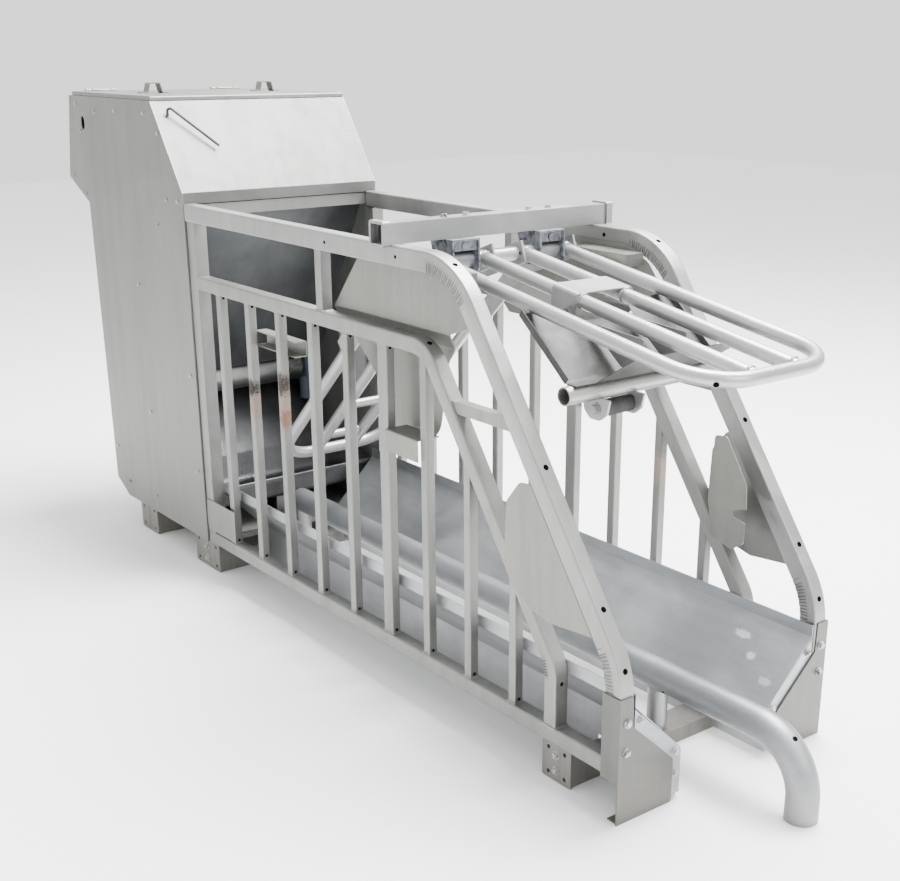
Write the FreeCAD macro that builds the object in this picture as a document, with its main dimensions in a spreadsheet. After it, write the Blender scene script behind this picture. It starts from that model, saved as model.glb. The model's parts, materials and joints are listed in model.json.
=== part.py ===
"""Electronic pig feeding stall: barred race, see-saw entry gate and feeder housing.

Millimetres. The race runs along X with its entrance at +X and the feeder at -X, +Z is up, and the
origin is on the floor at the middle of the machine. "left" is the side at -Y.
"""
import FreeCAD, Part
import math
import os

import Sketcher
from FreeCAD import Placement, Rotation, Vector

doc = FreeCAD.newDocument("FeedingStall")
sheet = doc.addObject("Spreadsheet::Sheet", "Dims")

DIMS = {
    # race frames
    "race_half_width": 340, "frame_rear": -660, "frame_front": 1250,
    "hoop_depth": 50, "hoop_width": 40, "inner_tube": 40, "tube_wall": 2.5,
    "top_rail_top": 1165, "mid_rail_top": 957, "bottom_rail_top": 142, "bottom_rail_height": 40,
    "hoop_slope": 54, "hoop_corner": 669, "hoop_bend": 220,
    "inner_corner": 552, "inner_front": 1033, "inner_bend": 110,
    "bar_size": 25, "wide_bar": 40, "bar_pitch": 172, "first_bar": -507, "bar_count": 9,
    "sheet_thickness": 3, "foot_sheet": 4,
    # pivot and gate
    "pivot_along": 420, "pivot_height": 1112, "pivot_diameter": 36, "gate_tube": 34,
    "rack_wall": 2, "arm_wall": 3.5, "rack_length": 915, "rack_slope": 8.5, "arm_slope": 44,
    "gate_half_width": 200, "gate_inner_half": 67, "gate_bend": 120, "arm_length": 680,
    "catch_diameter": 42, "catch_along": 946, "catch_height": 889, "catch_half_length": 250,
    "cross_bar_size": 50, "cross_bar_along": 400, "collar_size": 60, "bush_clearance": 0.08,
    # race floor
    "pipe_diameter": 76, "pipe_height": 180, "pipe_end": 1482, "pipe_bend": 130,
    "beam_height": 102, "web_height": 38, "front_beam": 1030, "mid_beam": -705, "rear_beam": -1145,
    # feeder housing
    "housing_rear": -1520, "housing_front": -664, "housing_top": 1450, "housing_bottom": 102,
    "cover_low": 1195, "rotor_diameter": 90, "rotor_along": -1097, "rotor_height": 520,
    "rotor_clearance": 2, "shaft_diameter": 20, "rotor_half_length": 246,
}
for row, (alias, value) in enumerate(DIMS.items(), 1):
    sheet.set(f"A{row}", alias)
    sheet.set(f"B{row}", str(value))
    sheet.setAlias(f"B{row}", alias)
doc.recompute()

SIDES = {"left": -1, "right": 1}
WELD_GAP = 0.3
# X of the front of the rear post, and its depth
REAR_POST_FRONT = -615
REAR_POST_DEPTH = 45
# radius of the drain holes in the hoops
DRAIN = 5
# how far the small hoops, the rails and the bars sit inside the race's outer faces
FRAME_INSET = 5
# length of the tall boxed ends of the floor beams
BEAM_POST = 62


def dim(name):
    """A driving dimension, read back from the spreadsheet."""
    return float(sheet.get(name))


# ---------------------------------------------------------------- outlines and sketches

def rounded(points, radii, closed=True):
    """Lines and tangent arcs through corner points; radii holds one radius per corner, 0 for sharp."""
    corners = [Vector(x, y, 0) for x, y in points]
    last = len(corners) - 1
    stations = []
    for i, here in enumerate(corners):
        if radii[i] == 0 or (not closed and i in (0, last)):
            stations.append((here, None, here))
            continue
        back = (corners[i - 1] - here).normalize()
        ahead = (corners[(i + 1) % len(corners)] - here).normalize()
        half = back.getAngle(ahead) / 2
        reach = radii[i] / math.tan(half)
        middle = here + (back + ahead).normalize() * (radii[i] / math.sin(half) - radii[i])
        stations.append((here + back * reach, middle, here + ahead * reach))
    edges = []
    for i, (enter, middle, leave) in enumerate(stations):
        if middle is not None:
            edges.append(Part.Arc(enter, middle, leave))
        if closed or i < last:
            edges.append(Part.LineSegment(leave, stations[(i + 1) % len(stations)][0]))
    return edges


def offset_corners(points, shift):
    """Corner points of a polyline moved sideways by shift, to its left when positive."""
    moved = []
    for i, point in enumerate(points):
        here = Vector(*point, 0)
        before = Vector(*points[i - 1], 0) if i else None
        after = Vector(*points[i + 1], 0) if i < len(points) - 1 else None
        normals = []
        for start, end in ((before, here), (here, after)):
            if start is not None and end is not None:
                run = (end - start).normalize()
                normals.append(Vector(-run.y, run.x, 0))
        side = (normals[0] + normals[-1]).normalize()
        moved.append(here + side * (shift / side.dot(normals[0])))
    return [(p.x, p.y) for p in moved]


def strip(points, radii, above, below=0.0):
    """Closed outline of a bent strip that reaches above and below its corner line."""
    upper = offset_corners(points, above)
    lower = offset_corners(points, -below)
    turns = [0.0] + [turn_sign(points, i) for i in range(1, len(points) - 1)] + [0.0]
    upper_radii = [r - t * above if r else 0 for r, t in zip(radii, turns)]
    lower_radii = [r + t * below if r else 0 for r, t in zip(radii, turns)]
    return rounded(upper + lower[::-1], upper_radii + lower_radii[::-1])


def turn_sign(points, i):
    """+1 where the corner line turns left at its point i, -1 where it turns right."""
    (ax, ay), (bx, by), (cx, cy) = points[i - 1:i + 2]
    return math.copysign(1, (bx - ax) * (cy - by) - (by - ay) * (cx - bx))


def circle(x, y, radius):
    """Outline of a circle."""
    return [Part.Circle(Vector(x, y, 0), Vector(0, 0, 1), radius)]


def rectangle(low, high):
    """Outline of a rectangle between two corners."""
    (x0, y0), (x1, y1) = low, high
    return rounded([(x0, y0), (x1, y0), (x1, y1), (x0, y1)], [0] * 4)


def new_body(label):
    """An empty body with its label."""
    body = doc.addObject("PartDesign::Body", label)
    body.Label = label
    return body


def add_sketch(body, role, outlines, closed=True):
    """A sketch on one of the body's own origin planes, its neighbouring ends joined."""
    sketch = body.newObject("Sketcher::SketchObject", body.Label + "_sketch")
    plane = next(f for f in body.Origin.OriginFeatures if f.Role == role)
    sketch.AttachmentSupport = [(plane, "")]
    sketch.MapMode = "FlatFace"
    for outline in outlines:
        first = sketch.GeometryCount
        sketch.addGeometry(outline)
        count = len(outline)
        for k in range(count if closed and count > 1 else count - 1):
            i, j = first + k, first + (k + 1) % count
            for p, q in ((2, 1), (1, 1), (2, 2), (1, 2)):
                if sketch.getPoint(i, p).distanceToPoint(sketch.getPoint(j, q)) < 1e-6:
                    sketch.addConstraint(Sketcher.Constraint("Coincident", i, p, j, q))
                    break
    return sketch


def add_pad(body, role, outlines, length, offset=0.0):
    """A symmetric pad; length is an expression on the sheet, offset moves it along the normal."""
    sketch = add_sketch(body, role, outlines)
    sketch.AttachmentOffset = Placement(Vector(0, 0, offset), Rotation())
    pad = body.newObject("PartDesign::Pad", body.Label + "_pad")
    pad.Profile = sketch
    pad.SideType = "Symmetric"
    pad.setExpression("Length", length)
    return pad


def add_pocket(body, role, outlines, length, offset=0.0):
    """A symmetric pocket of the given length, checked to have taken material away."""
    doc.recompute()
    before = body.Shape.Volume
    sketch = add_sketch(body, role, outlines)
    sketch.AttachmentOffset = Placement(Vector(0, 0, offset), Rotation())
    pocket = body.newObject("PartDesign::Pocket", body.Label + "_pocket")
    pocket.Profile = sketch
    pocket.SideType = "Symmetric"
    pocket.setExpression("Length", length)
    doc.recompute()
    if body.Shape.Volume > before - 1e-3:
        raise RuntimeError(f"the pocket in {body.Label} cuts nothing")
    return pocket


def plate(label, outlines, thickness, y, holes=(), role="XZ_Plane"):
    """A flat part in an upright plane along X, its middle at y, with outlines and holes in X and Z."""
    body = new_body(label)
    add_pad(body, role, outlines, thickness)
    if holes:
        add_pocket(body, role, [circle(*hole) for hole in holes], thickness + " * 3")
    body.Placement = Placement(Vector(0, y, 0), Rotation())
    return body


def tube_in_plane(label, points, radii, depth, width, y, holes=()):
    """A bent rectangular tube in an upright plane along X, from its outer corner line inwards."""
    body = new_body(label)
    wall = dim("tube_wall")
    add_pad(body, "XZ_Plane", [strip(points, radii, 0, dim(depth))], f"Dims.{width}")
    inner = strip(offset_corners(points, -wall), [max(r - wall, 0) for r in radii], 0, dim(depth) - 2 * wall)
    add_pocket(body, "XZ_Plane", [inner], f"Dims.{width} - 2 * Dims.tube_wall")
    for role, centre, radius, offset in holes:
        add_pocket(body, role, [circle(*centre, radius)], "Dims.hoop_depth", offset)
    body.Placement = Placement(Vector(0, y, 0), Rotation())
    return body


def box(label, low, high, sizes=None):
    """A Part::Box between two corners; sizes may bind Length, Width or Height to the sheet."""
    item = doc.addObject("Part::Box", label)
    item.Label = label
    item.Length, item.Width, item.Height = (b - a for a, b in zip(low, high))
    item.Placement = Placement(Vector(*low), Rotation())
    for prop, expression in (sizes or {}).items():
        item.setExpression(prop, expression)
    return item


def round_bar(label, base, direction, length, radius):
    """A Part::Cylinder from base along direction; radius is an expression on the sheet."""
    item = doc.addObject("Part::Cylinder", label)
    item.Label = label
    item.Height = length
    item.setExpression("Radius", radius)
    item.Placement = Placement(Vector(*base), Rotation(Vector(0, 0, 1), Vector(*direction)))
    return item


def cut(label, base, tool):
    """The base with the tool taken away."""
    item = doc.addObject("Part::Cut", label)
    item.Label = label
    item.Base, item.Tool = base, tool
    return item


def union(label, first, second):
    """Two overlapping shapes as one solid."""
    item = doc.addObject("Part::Fuse", label)
    item.Label = label
    item.Base, item.Tool = first, second
    return item


def common(label, first, second):
    """What two shapes share."""
    item = doc.addObject("Part::MultiCommon", label)
    item.Label = label
    item.Shapes = [first, second]
    return item


def group(label, items):
    """Separate solids that share one node."""
    item = doc.addObject("Part::Compound", label)
    item.Label = label
    item.Links = items
    return item


def pipe_length(label, base, direction, length, outer, wall):
    """A straight round tube; outer and wall are expressions on the sheet."""
    skin = round_bar(label + "_outer", base, direction, length, f"{outer} / 2")
    bore = round_bar(label + "_bore", base, direction, length, f"{outer} / 2 - {wall}")
    return cut(label, skin, bore)


def square_post(label, x, y, bottom, top, along, across, wall):
    """An upright square tube centred on x and y; along and across are its outer sizes."""
    outer = box(label + "_outer", (x - along / 2, y - across / 2, bottom),
                (x + along / 2, y + across / 2, top))
    half_along, half_across = along / 2 - wall, across / 2 - wall
    inner = box(label + "_inner", (x - half_along, y - half_across, bottom),
                (x + half_along, y + half_across, top))
    return cut(label, outer, inner)


def hex_bolt(label, x, y, z, direction, across=13, head=6):
    """A hexagon head standing on a surface, with its washer."""
    body = new_body(label)
    corner = across / math.sqrt(3)
    washer = 1.5
    turns = [math.radians(a) for a in range(0, 360, 60)]
    corners = [(corner * math.cos(turn), corner * math.sin(turn)) for turn in turns]
    add_pad(body, "XY_Plane", [rounded(corners, [0] * 6)], f"{head}", offset=head / 2 + washer)
    add_pad(body, "XY_Plane", [circle(0, 0, across * 0.85)], f"{washer}", offset=washer / 2)
    body.Placement = Placement(Vector(x, y, z), Rotation(Vector(0, 0, 1), Vector(*direction)))
    return body


# ---------------------------------------------------------------- side frames

def hoop_corners():
    """Outer corner line of the big side hoop: top rail, slope and front post."""
    slope = math.tan(math.radians(dim("hoop_slope")))
    drop = (dim("frame_front") - dim("hoop_corner")) * slope
    return [(dim("frame_rear"), dim("top_rail_top")), (dim("hoop_corner"), dim("top_rail_top")),
            (dim("frame_front"), dim("top_rail_top") - drop),
            (dim("frame_front"), dim("bottom_rail_top") - dim("bottom_rail_height"))]


def hoop_outside(z):
    """Place along X of the outer face of the big hoop's slope at height z."""
    slope = math.tan(math.radians(dim("hoop_slope")))
    return min(dim("hoop_corner") + (dim("top_rail_top") - z) / slope, dim("frame_front"))


def inner_corners():
    """Outer corner line of the small side hoop: middle rail, slope and front post."""
    slope = math.tan(math.radians(dim("hoop_slope")))
    drop = (dim("inner_front") - dim("inner_corner")) * slope
    top = dim("mid_rail_top")
    return [(REAR_POST_FRONT, top), (dim("inner_corner"), top),
            (dim("inner_front"), top - drop), (dim("inner_front"), dim("bottom_rail_top"))]


def build_side_frame(side, sign):
    """The fixed frame on one side: two hoops, bottom rail, posts and bars."""
    outer_y = sign * (dim("race_half_width") - dim("hoop_width") / 2)
    inner_y = sign * (dim("race_half_width") - FRAME_INSET - dim("inner_tube") / 2)
    hoop_holes = [("YZ_Plane", (0, z), DRAIN, hoop_outside(z)) for z in (354, 480, 748)]
    hoop_holes.append(("XY_Plane", (620, 0), DRAIN, dim("top_rail_top") - 15))
    hoop = tube_in_plane(f"outer_hoop_{side}", hoop_corners(), [0, dim("hoop_bend"), dim("hoop_bend"), 0],
                         "hoop_depth", "hoop_width", outer_y, hoop_holes)
    inner_holes = [("YZ_Plane", (0, 280), DRAIN, dim("inner_front")),
                   ("XY_Plane", (520, 0), DRAIN, dim("mid_rail_top"))]
    inner = tube_in_plane(f"inner_hoop_{side}", inner_corners(), [0, dim("inner_bend"), dim("inner_bend"), 0],
                          "inner_tube", "inner_tube", inner_y, inner_holes)
    rail_top = dim("bottom_rail_top")
    rail = tube_in_plane(f"bottom_rail_{side}",
                         [(dim("frame_rear"), rail_top), (dim("frame_front") - dim("hoop_depth"), rail_top)],
                         [0, 0], "bottom_rail_height", "inner_tube", inner_y)
    return [hoop, inner, rail, build_bars(side, inner_y), build_posts(side, inner_y)]


def hoop_underside(x):
    """Height of the underside of the small hoop above x: flat rail, then its bend, then the slope."""
    slope = math.radians(dim("hoop_slope"))
    top, tube, bend = dim("mid_rail_top"), dim("inner_tube"), dim("inner_bend")
    bend_start = dim("inner_corner") - bend * math.tan(slope / 2)
    bend_end = bend_start + (bend - tube) * math.sin(slope)
    if x <= bend_start:
        return top - tube
    if x <= bend_end:
        return top - bend + math.sqrt((bend - tube) ** 2 - (x - bend_start) ** 2)
    return top - (x - dim("inner_corner")) * math.tan(slope) - tube / math.cos(slope)


def build_bars(side, y):
    """Upright bars between the bottom rail and the small hoop; the last two end on its slope."""
    size, wall = dim("bar_size"), 2.0
    bottom = dim("bottom_rail_top")
    flat_top = dim("mid_rail_top") - dim("inner_tube")
    bars = []
    for i in range(int(dim("bar_count"))):
        x = dim("first_bar") + i * dim("bar_pitch")
        along = dim("wide_bar") if i == 5 else size
        left, right = x - along / 2, x + along / 2
        outline = [(left, bottom), (right, bottom),
                   (right, hoop_underside(right)), (left, hoop_underside(left))]
        bar = new_body(f"bar_{side}_{i}")
        add_pad(bar, "XZ_Plane", [rounded(outline, [0] * 4)], "Dims.bar_size")
        low, high = (x - along / 2 + wall, bottom - 1), (x + along / 2 - wall, flat_top + 1)
        add_pocket(bar, "XZ_Plane", [rectangle(low, high)], f"Dims.bar_size - {2 * wall}")
        top = min(outline[2][1], outline[3][1])
        drains = [circle(0, z, DRAIN - 1) for z in (bottom + 8, top - 8)]
        add_pocket(bar, "YZ_Plane", drains, "8", x + along / 2)
        bar.Placement = Placement(Vector(0, y, 0), Rotation())
        bars.append(bar)
    return group(f"side_bars_{side}", bars)


def build_posts(side, y):
    """Rear post, the short post between the two rails, and the round tie between the hoops."""
    rail_bottom = dim("top_rail_top") - dim("hoop_depth")
    wall = dim("tube_wall")
    rear = square_post(f"rear_post_{side}", REAR_POST_FRONT - REAR_POST_DEPTH / 2, y,
                       dim("bottom_rail_top"), rail_bottom, REAR_POST_DEPTH, dim("inner_tube"), wall)
    short = square_post(f"short_post_{side}", 72, y, dim("mid_rail_top"), rail_bottom, 30, 30, wall)
    height = 818
    slope = math.tan(math.radians(dim("hoop_slope")))
    run = dim("inner_corner") + (dim("mid_rail_top") - height) / slope
    end = hoop_outside(height) - dim("hoop_depth") / math.sin(math.atan(slope))
    tie = new_body(f"tie_{side}")
    half = 14
    lean = half / slope
    outline = [(run + lean, height - half), (end + lean, height - half),
               (end - lean, height + half), (run - lean, height + half)]
    add_pad(tie, "XZ_Plane", [rounded(outline, [0] * 4)], f"{2 * half}")
    tie.Placement = Placement(Vector(0, y, 0), Rotation())
    return group(f"side_posts_{side}", [rear, short, tie])


def build_cheek(side, sign):
    """Bent sheet that closes the frame beside the gate's pivot: a shelf fold, then a leg set inwards."""
    label = f"cheek_plate_{side}"
    thick = dim("sheet_thickness")
    face = dim("race_half_width") - dim("hoop_width")
    leg = face - 38
    leg_end = {"left": 680, "right": 895}[side]
    profile = new_body(label + "_fold")
    line = [(sign * face, 1140), (sign * face, 972), (sign * leg, 930), (sign * leg, leg_end)]
    above, below = (thick, 0) if sign < 0 else (0, thick)
    add_pad(profile, "YZ_Plane", [strip(line, [0, 8, 8, 0], above, below)], "800")
    profile.Placement = Placement(Vector(370, 0, 0), Rotation())
    outline = new_body(label + "_outline")
    corners = [(75, 945), (140, 885), (236, 802), (236, 690), (500, 690), (540, 890), (600, 975),
               (705, 1012), (640, 1090), (560, 1130), (235, 1130)]
    radii = [6, 30, 20, 40, 60, 30, 20, 6, 60, 60, 10]
    add_pad(outline, "XZ_Plane", [rounded(corners, radii)], "700")
    return common(label, profile, outline)


def build_entry_guide(side, sign):
    """Plates at the low front of the frame that steer the animal past the gate's end.

    Both sides have the outer cover; the inner liner and its web are on the right side only.
    """
    half, thick = dim("race_half_width"), dim("sheet_thickness")
    inset = dim("hoop_depth") / math.sin(math.radians(dim("hoop_slope"))) + 0.5
    low, high = ((hoop_outside(z) - inset, z) for z in (414, 705))
    outer = [(852, 500), (888, 443), (955, 410), (1004, 399), low, high, (903, 700), (858, 646)]
    cover = plate(f"guide_cover_{side}", [rounded(outer, [15, 20, 20, 20, 0, 0, 20, 20])],
                  "Dims.sheet_thickness", sign * (half - FRAME_INSET + thick / 2))
    if side == "left":
        return group(f"entry_guide_{side}", [cover])
    liner = [(938, 555), (955, 462), (1022, 442), (1060, 468), (1060, 520), (1020, 528), (1020, 546),
             (1062, 556), (1058, 617), (988, 722), (950, 719)]
    face = half - 100
    inner = plate(f"guide_liner_{side}", [rounded(liner, [20, 12, 12, 12, 3, 3, 3, 3, 20, 10, 10])],
                  "Dims.sheet_thickness", sign * (face + thick / 2))
    web = box(f"guide_web_{side}", (950, face + thick, 480), (953, half - FRAME_INSET - dim("inner_tube"), 560))
    return group(f"entry_guide_{side}", [cover, inner, web])


def build_foot_plate(side, sign):
    """Folded plate across the foot of the front post, with a toe and a side wrap."""
    label = f"foot_plate_{side}"
    thick, half, front = dim("foot_sheet"), dim("race_half_width"), dim("frame_front")
    body = new_body(label)
    outline = [(sign * y, z) for y, z in ((half + thick, 0), (175, 0), (175, 110), (303, 231),
                                          (306, 305), (half + thick, 305))]
    add_pad(body, "YZ_Plane", [rounded(outline, [0, 6, 10, 10, 0, 0])], "Dims.foot_sheet", front + thick / 2)
    wrap = rectangle((front - 52, 102), (front + thick, 305))
    add_pad(body, "XZ_Plane", [wrap], "Dims.foot_sheet", -sign * (half + thick / 2))
    toe = rectangle((front - 30, 0), (front + 1, thick))
    add_pad(body, "XZ_Plane", [toe], f"{half - 190}", -sign * (half + 190) / 2)
    return body


def build_kick_sheet(side, sign):
    """Sloping sheet along the foot of the race: bolted flange, 45 degree face, skirt and end flange."""
    label = f"kick_sheet_{side}"
    face = dim("race_half_width") - FRAME_INSET - dim("inner_tube")
    line = [(sign * face, 303), (sign * face, 272), (sign * 148, 125), (sign * 148, 12)]
    body = new_body(label)
    rear, front = dim("frame_rear") + 2, dim("frame_front") - 1
    above, below = (2.5, 0) if sign < 0 else (0, 2.5)
    sheet_outline = strip(line, [0, 5, 5, 0], above, below)
    add_pad(body, "YZ_Plane", [sheet_outline], f"{front - rear}", (front + rear) / 2)
    for name, half_length in (("front_beam", 50), ("mid_beam", 82)):
        along = dim(name)
        notch = rectangle((along - half_length, 0), (along + half_length, dim("web_height") + 8))
        add_pocket(body, "XZ_Plane", [notch], "700")
    flange = [(sign * y, z) for y, z in ((face, 268), (147, 125), (147, 20), (160, 8),
                                         (194, 8), (194, 102), (face, 198))]
    add_pad(body, "YZ_Plane", [rounded(flange, [0, 6, 8, 8, 0, 10, 0])], "2.5", front - 1.25)
    return body


# ---------------------------------------------------------------- cross members and race floor

def build_cross_bar():
    """The square tube across the top rails, with a collar round each end."""
    size, along = dim("cross_bar_size"), dim("cross_bar_along")
    low = dim("top_rail_top")
    half = dim("race_half_width") + 5
    outer = box("cross_bar_outer", (along - size / 2, -half, low), (along + size / 2, half, low + size),
                {"Length": "Dims.cross_bar_size", "Height": "Dims.cross_bar_size"})
    bore = size / 2 - dim("sheet_thickness")
    inner = box("cross_bar_inner", (along - bore, -half, low + size / 2 - bore),
                (along + bore, half, low + size / 2 + bore))
    collars = []
    edge = dim("collar_size") / 2
    bore = edge - 7
    middle = low + size / 2
    for side, sign in SIDES.items():
        body = new_body(f"bar_collar_{side}")
        corners = [(along + a * edge, middle + b * edge) for a, b in ((-1, -1), (1, -1), (1, 1), (-1, 1))]
        hole = rectangle((along - bore, middle - bore), (along + bore, middle + bore))
        ring = [rounded(corners, [6] * 4), hole]
        add_pad(body, "XZ_Plane", ring, "20")
        body.Placement = Placement(Vector(0, sign * (half + 10), 0), Rotation())
        collars.append(body)
    return [group("cross_bar", [cut("cross_bar_tube", outer, inner)] + collars)]


def build_pivot_supports():
    """Boxed brackets under the cross bar, and the plain bushes in which the pivot tube turns."""
    along, height = dim("pivot_along"), dim("pivot_height")
    radius = dim("pivot_diameter") / 2
    top = dim("top_rail_top")
    bar = dim("cross_bar_along")
    wall = 3
    brackets, bushes = [], []
    for side, sign in SIDES.items():
        middle = sign * 138
        body = new_body(f"pivot_bracket_{side}")
        add_pad(body, "XZ_Plane", [rectangle((bar - 40, top - 5), (bar + 52, top))], "84")
        cheek = [(bar - 40, top - 5), (bar - 15, height - 34), (along + 34, height - 34), (bar + 52, top - 5)]
        for edge in (-39.5, 39.5):
            add_pad(body, "XZ_Plane", [rounded(cheek, [0, 18, 18, 0])], "5", edge)
        add_pocket(body, "XZ_Plane", [circle(along, height, radius + wall)], "300")
        front = rectangle((middle - 40, height + radius + wall + 3), (middle + 40, top - 2))
        face = new_body(f"pivot_face_{side}")
        add_pad(face, "YZ_Plane", [front], "5", bar + 42)
        add_pad(face, "YZ_Plane", [circle(middle, top - 17, 9)], "6", bar + 45)
        body.Placement = Placement(Vector(0, middle, 0), Rotation())
        brackets.append(union(f"pivot_box_{side}", body, face))
        bush = new_body(f"pivot_bush_{side}")
        ring = [circle(along, height, radius + wall - 0.02),
                circle(along, height, radius + dim("bush_clearance"))]
        add_pad(bush, "XZ_Plane", ring, "88")
        bush.Placement = Placement(Vector(0, middle, 0), Rotation())
        bushes.append(bush)
    return [group("pivot_brackets", brackets), group("pivot_bushes", bushes)]


def build_anti_lie_pipe():
    """Round pipe along the middle of the race, bent down to the floor in front of the entrance."""
    body = new_body("anti_lie_pipe")
    start, height, end = -650, dim("pipe_height"), dim("pipe_end")
    line = rounded([(start, height), (end, height), (end, 0)], [0, dim("pipe_bend"), 0], closed=False)
    path = add_sketch(body, "XZ_Plane", [line], closed=False)
    radius = dim("pipe_diameter") / 2
    profile = add_sketch(body, "YZ_Plane", [circle(0, height, radius), circle(0, height, radius - 3)])
    profile.AttachmentOffset = Placement(Vector(0, 0, start), Rotation())
    pipe = body.newObject("PartDesign::AdditivePipe", "anti_lie_sweep")
    pipe.Profile = profile
    pipe.Spine = (path, ["Edge1", "Edge2", "Edge3"])
    legs = []
    for name, along in (("front", dim("front_beam")), ("rear", -637)):
        leg = pipe_length(f"pipe_leg_{name}_tube", (along, 0, dim("web_height")), (0, 0, 1),
                          height - dim("web_height"), "50", "Dims.tube_wall")
        cope = round_bar(f"pipe_leg_{name}_cope", (along - 60, 0, height), (1, 0, 0), 120,
                         f"Dims.pipe_diameter / 2 + {WELD_GAP}")
        legs.append(cut(f"pipe_leg_{name}", leg, cope))
    return [body, group("pipe_legs", legs)]


def build_beams():
    """Three low box beams across the machine, which stand on the floor, with tall boxed ends."""
    half, tall, low = dim("race_half_width"), dim("beam_height"), dim("web_height")
    items, ends = [], []
    for name, width in (("front_beam", 84), ("mid_beam", 146), ("rear_beam", 110)):
        body = new_body(name)
        along = dim(name)
        reach = half - 22
        near, far = along - width / 2, along + width / 2
        web = [rectangle((near, 0), (far, low)), rectangle((near + 5, 5), (far - 5, low - 5))]
        add_pad(body, "XZ_Plane", web, f"{2 * reach}")
        post = [rectangle((near, 0), (far, tall)), rectangle((near + 5, 5), (far - 5, tall - 5))]
        for sign in SIDES.values():
            add_pad(body, "XZ_Plane", post, f"{BEAM_POST}", -sign * (reach - BEAM_POST / 2))
        items.append(body)
        for side, sign in SIDES.items():
            corners = [(near - 8, 2), (far + 8, 2), (far + 8, tall), (near - 8, tall)]
            holes = [(along + a * (width / 2 - 14), 50 + b * 32, 5.5) for a in (-1, 1) for b in (-1, 1)]
            ends.append(plate(f"{name}_end_{side}", [rounded(corners, [5] * 4)], "6",
                              sign * (reach + 3), holes))
    return items + [group("beam_end_plates", ends)]


def build_small_brackets():
    """Angle brackets on the bars, rail brackets at the housing, stop boxes and the reader channel."""
    face = dim("race_half_width") - FRAME_INSET
    angles, rails, stops = [], [], []
    for side, sign in SIDES.items():
        angle = new_body(f"bar_angle_{side}")
        deep = face - dim("inner_tube") - 25
        line = [(sign * deep, 706), (sign * (face + 2), 706), (sign * (face + 2), 650)]
        above, below = (0, 3) if sign > 0 else (3, 0)
        add_pad(angle, "YZ_Plane", [strip(line, [0, 4, 0], above, below)], "148", 447)
        keep = box(f"bar_angle_keep_{side}", (374, -400, 600), (512, 400, 800))
        angles.append(common(f"bar_angle_cut_{side}", angle, keep))
        inner_face, outer_face = sorted((sign * face, sign * (face + 3)))
        rails.append(box(f"rail_bracket_{side}", (-656, inner_face, 150), (-474, outer_face, 250)))
        inside = sorted((sign * 297, sign * 236))
        skin = box(f"stop_box_{side}_outer", (372, inside[0], 1083), (622, inside[1], 1114))
        room = box(f"stop_box_{side}_inner", (375, inside[0] + 3, 1083), (619, inside[1] - 3, 1111))
        stops.append(cut(f"stop_box_{side}", skin, room))
    reader = new_body("reader_channel")
    line = [(-300, 836), (-260, 836), (-260, 792), (-300, 792)]
    add_pad(reader, "YZ_Plane", [strip(line, [0, 3, 3, 0], 0, 3)], "220", -230)
    return [group("frame_brackets", angles + rails + stops + [reader])]


# ---------------------------------------------------------------- see-saw gate

def place_on_pivot(body, slope):
    """Puts a body drawn about the pivot axis on it, with its X axis dipping by slope degrees."""
    body.Placement = Placement(Vector(dim("pivot_along"), 0, dim("pivot_height")),
                               Rotation(Vector(0, 1, 0), slope))
    return body


def u_frame(label, length, wall, start=0.0):
    """A U of round tube in the XY plane: two legs at the gate's half width, rounded at the far end."""
    body = new_body(label)
    half, bend = dim("gate_half_width"), dim("gate_bend")
    corners = [(start, -half), (length, -half), (length, half), (start, half)]
    path = add_sketch(body, "XY_Plane", [rounded(corners, [0, bend, bend, 0], closed=False)], closed=False)
    radius = dim("gate_tube") / 2
    profile = add_sketch(body, "YZ_Plane", [circle(-half, 0, radius), circle(-half, 0, radius - wall)])
    profile.AttachmentOffset = Placement(Vector(0, 0, start), Rotation())
    pipe = body.newObject("PartDesign::AdditivePipe", label + "_sweep")
    pipe.Profile = profile
    pipe.Spine = (path, [f"Edge{i}" for i in range(1, 6)])
    doc.recompute()
    return body


def straight_tubes(label, start, length, wall, cope_start, cope_end):
    """The two inner tubes of the gate, coped to the round tubes at their ends."""
    body = new_body(label)
    radius, inner = dim("gate_tube") / 2, dim("gate_inner_half")
    rings = []
    for y in (-inner, inner):
        rings += [circle(y, 0, radius), circle(y, 0, radius - wall)]
    add_pad(body, "YZ_Plane", rings, f"{length - start}", (length + start) / 2)
    for along, reach in ((start, cope_start), (length, cope_end)):
        if reach:
            add_pocket(body, "XZ_Plane", [circle(along, 0, reach + WELD_GAP)], "400")
    return body


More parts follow.
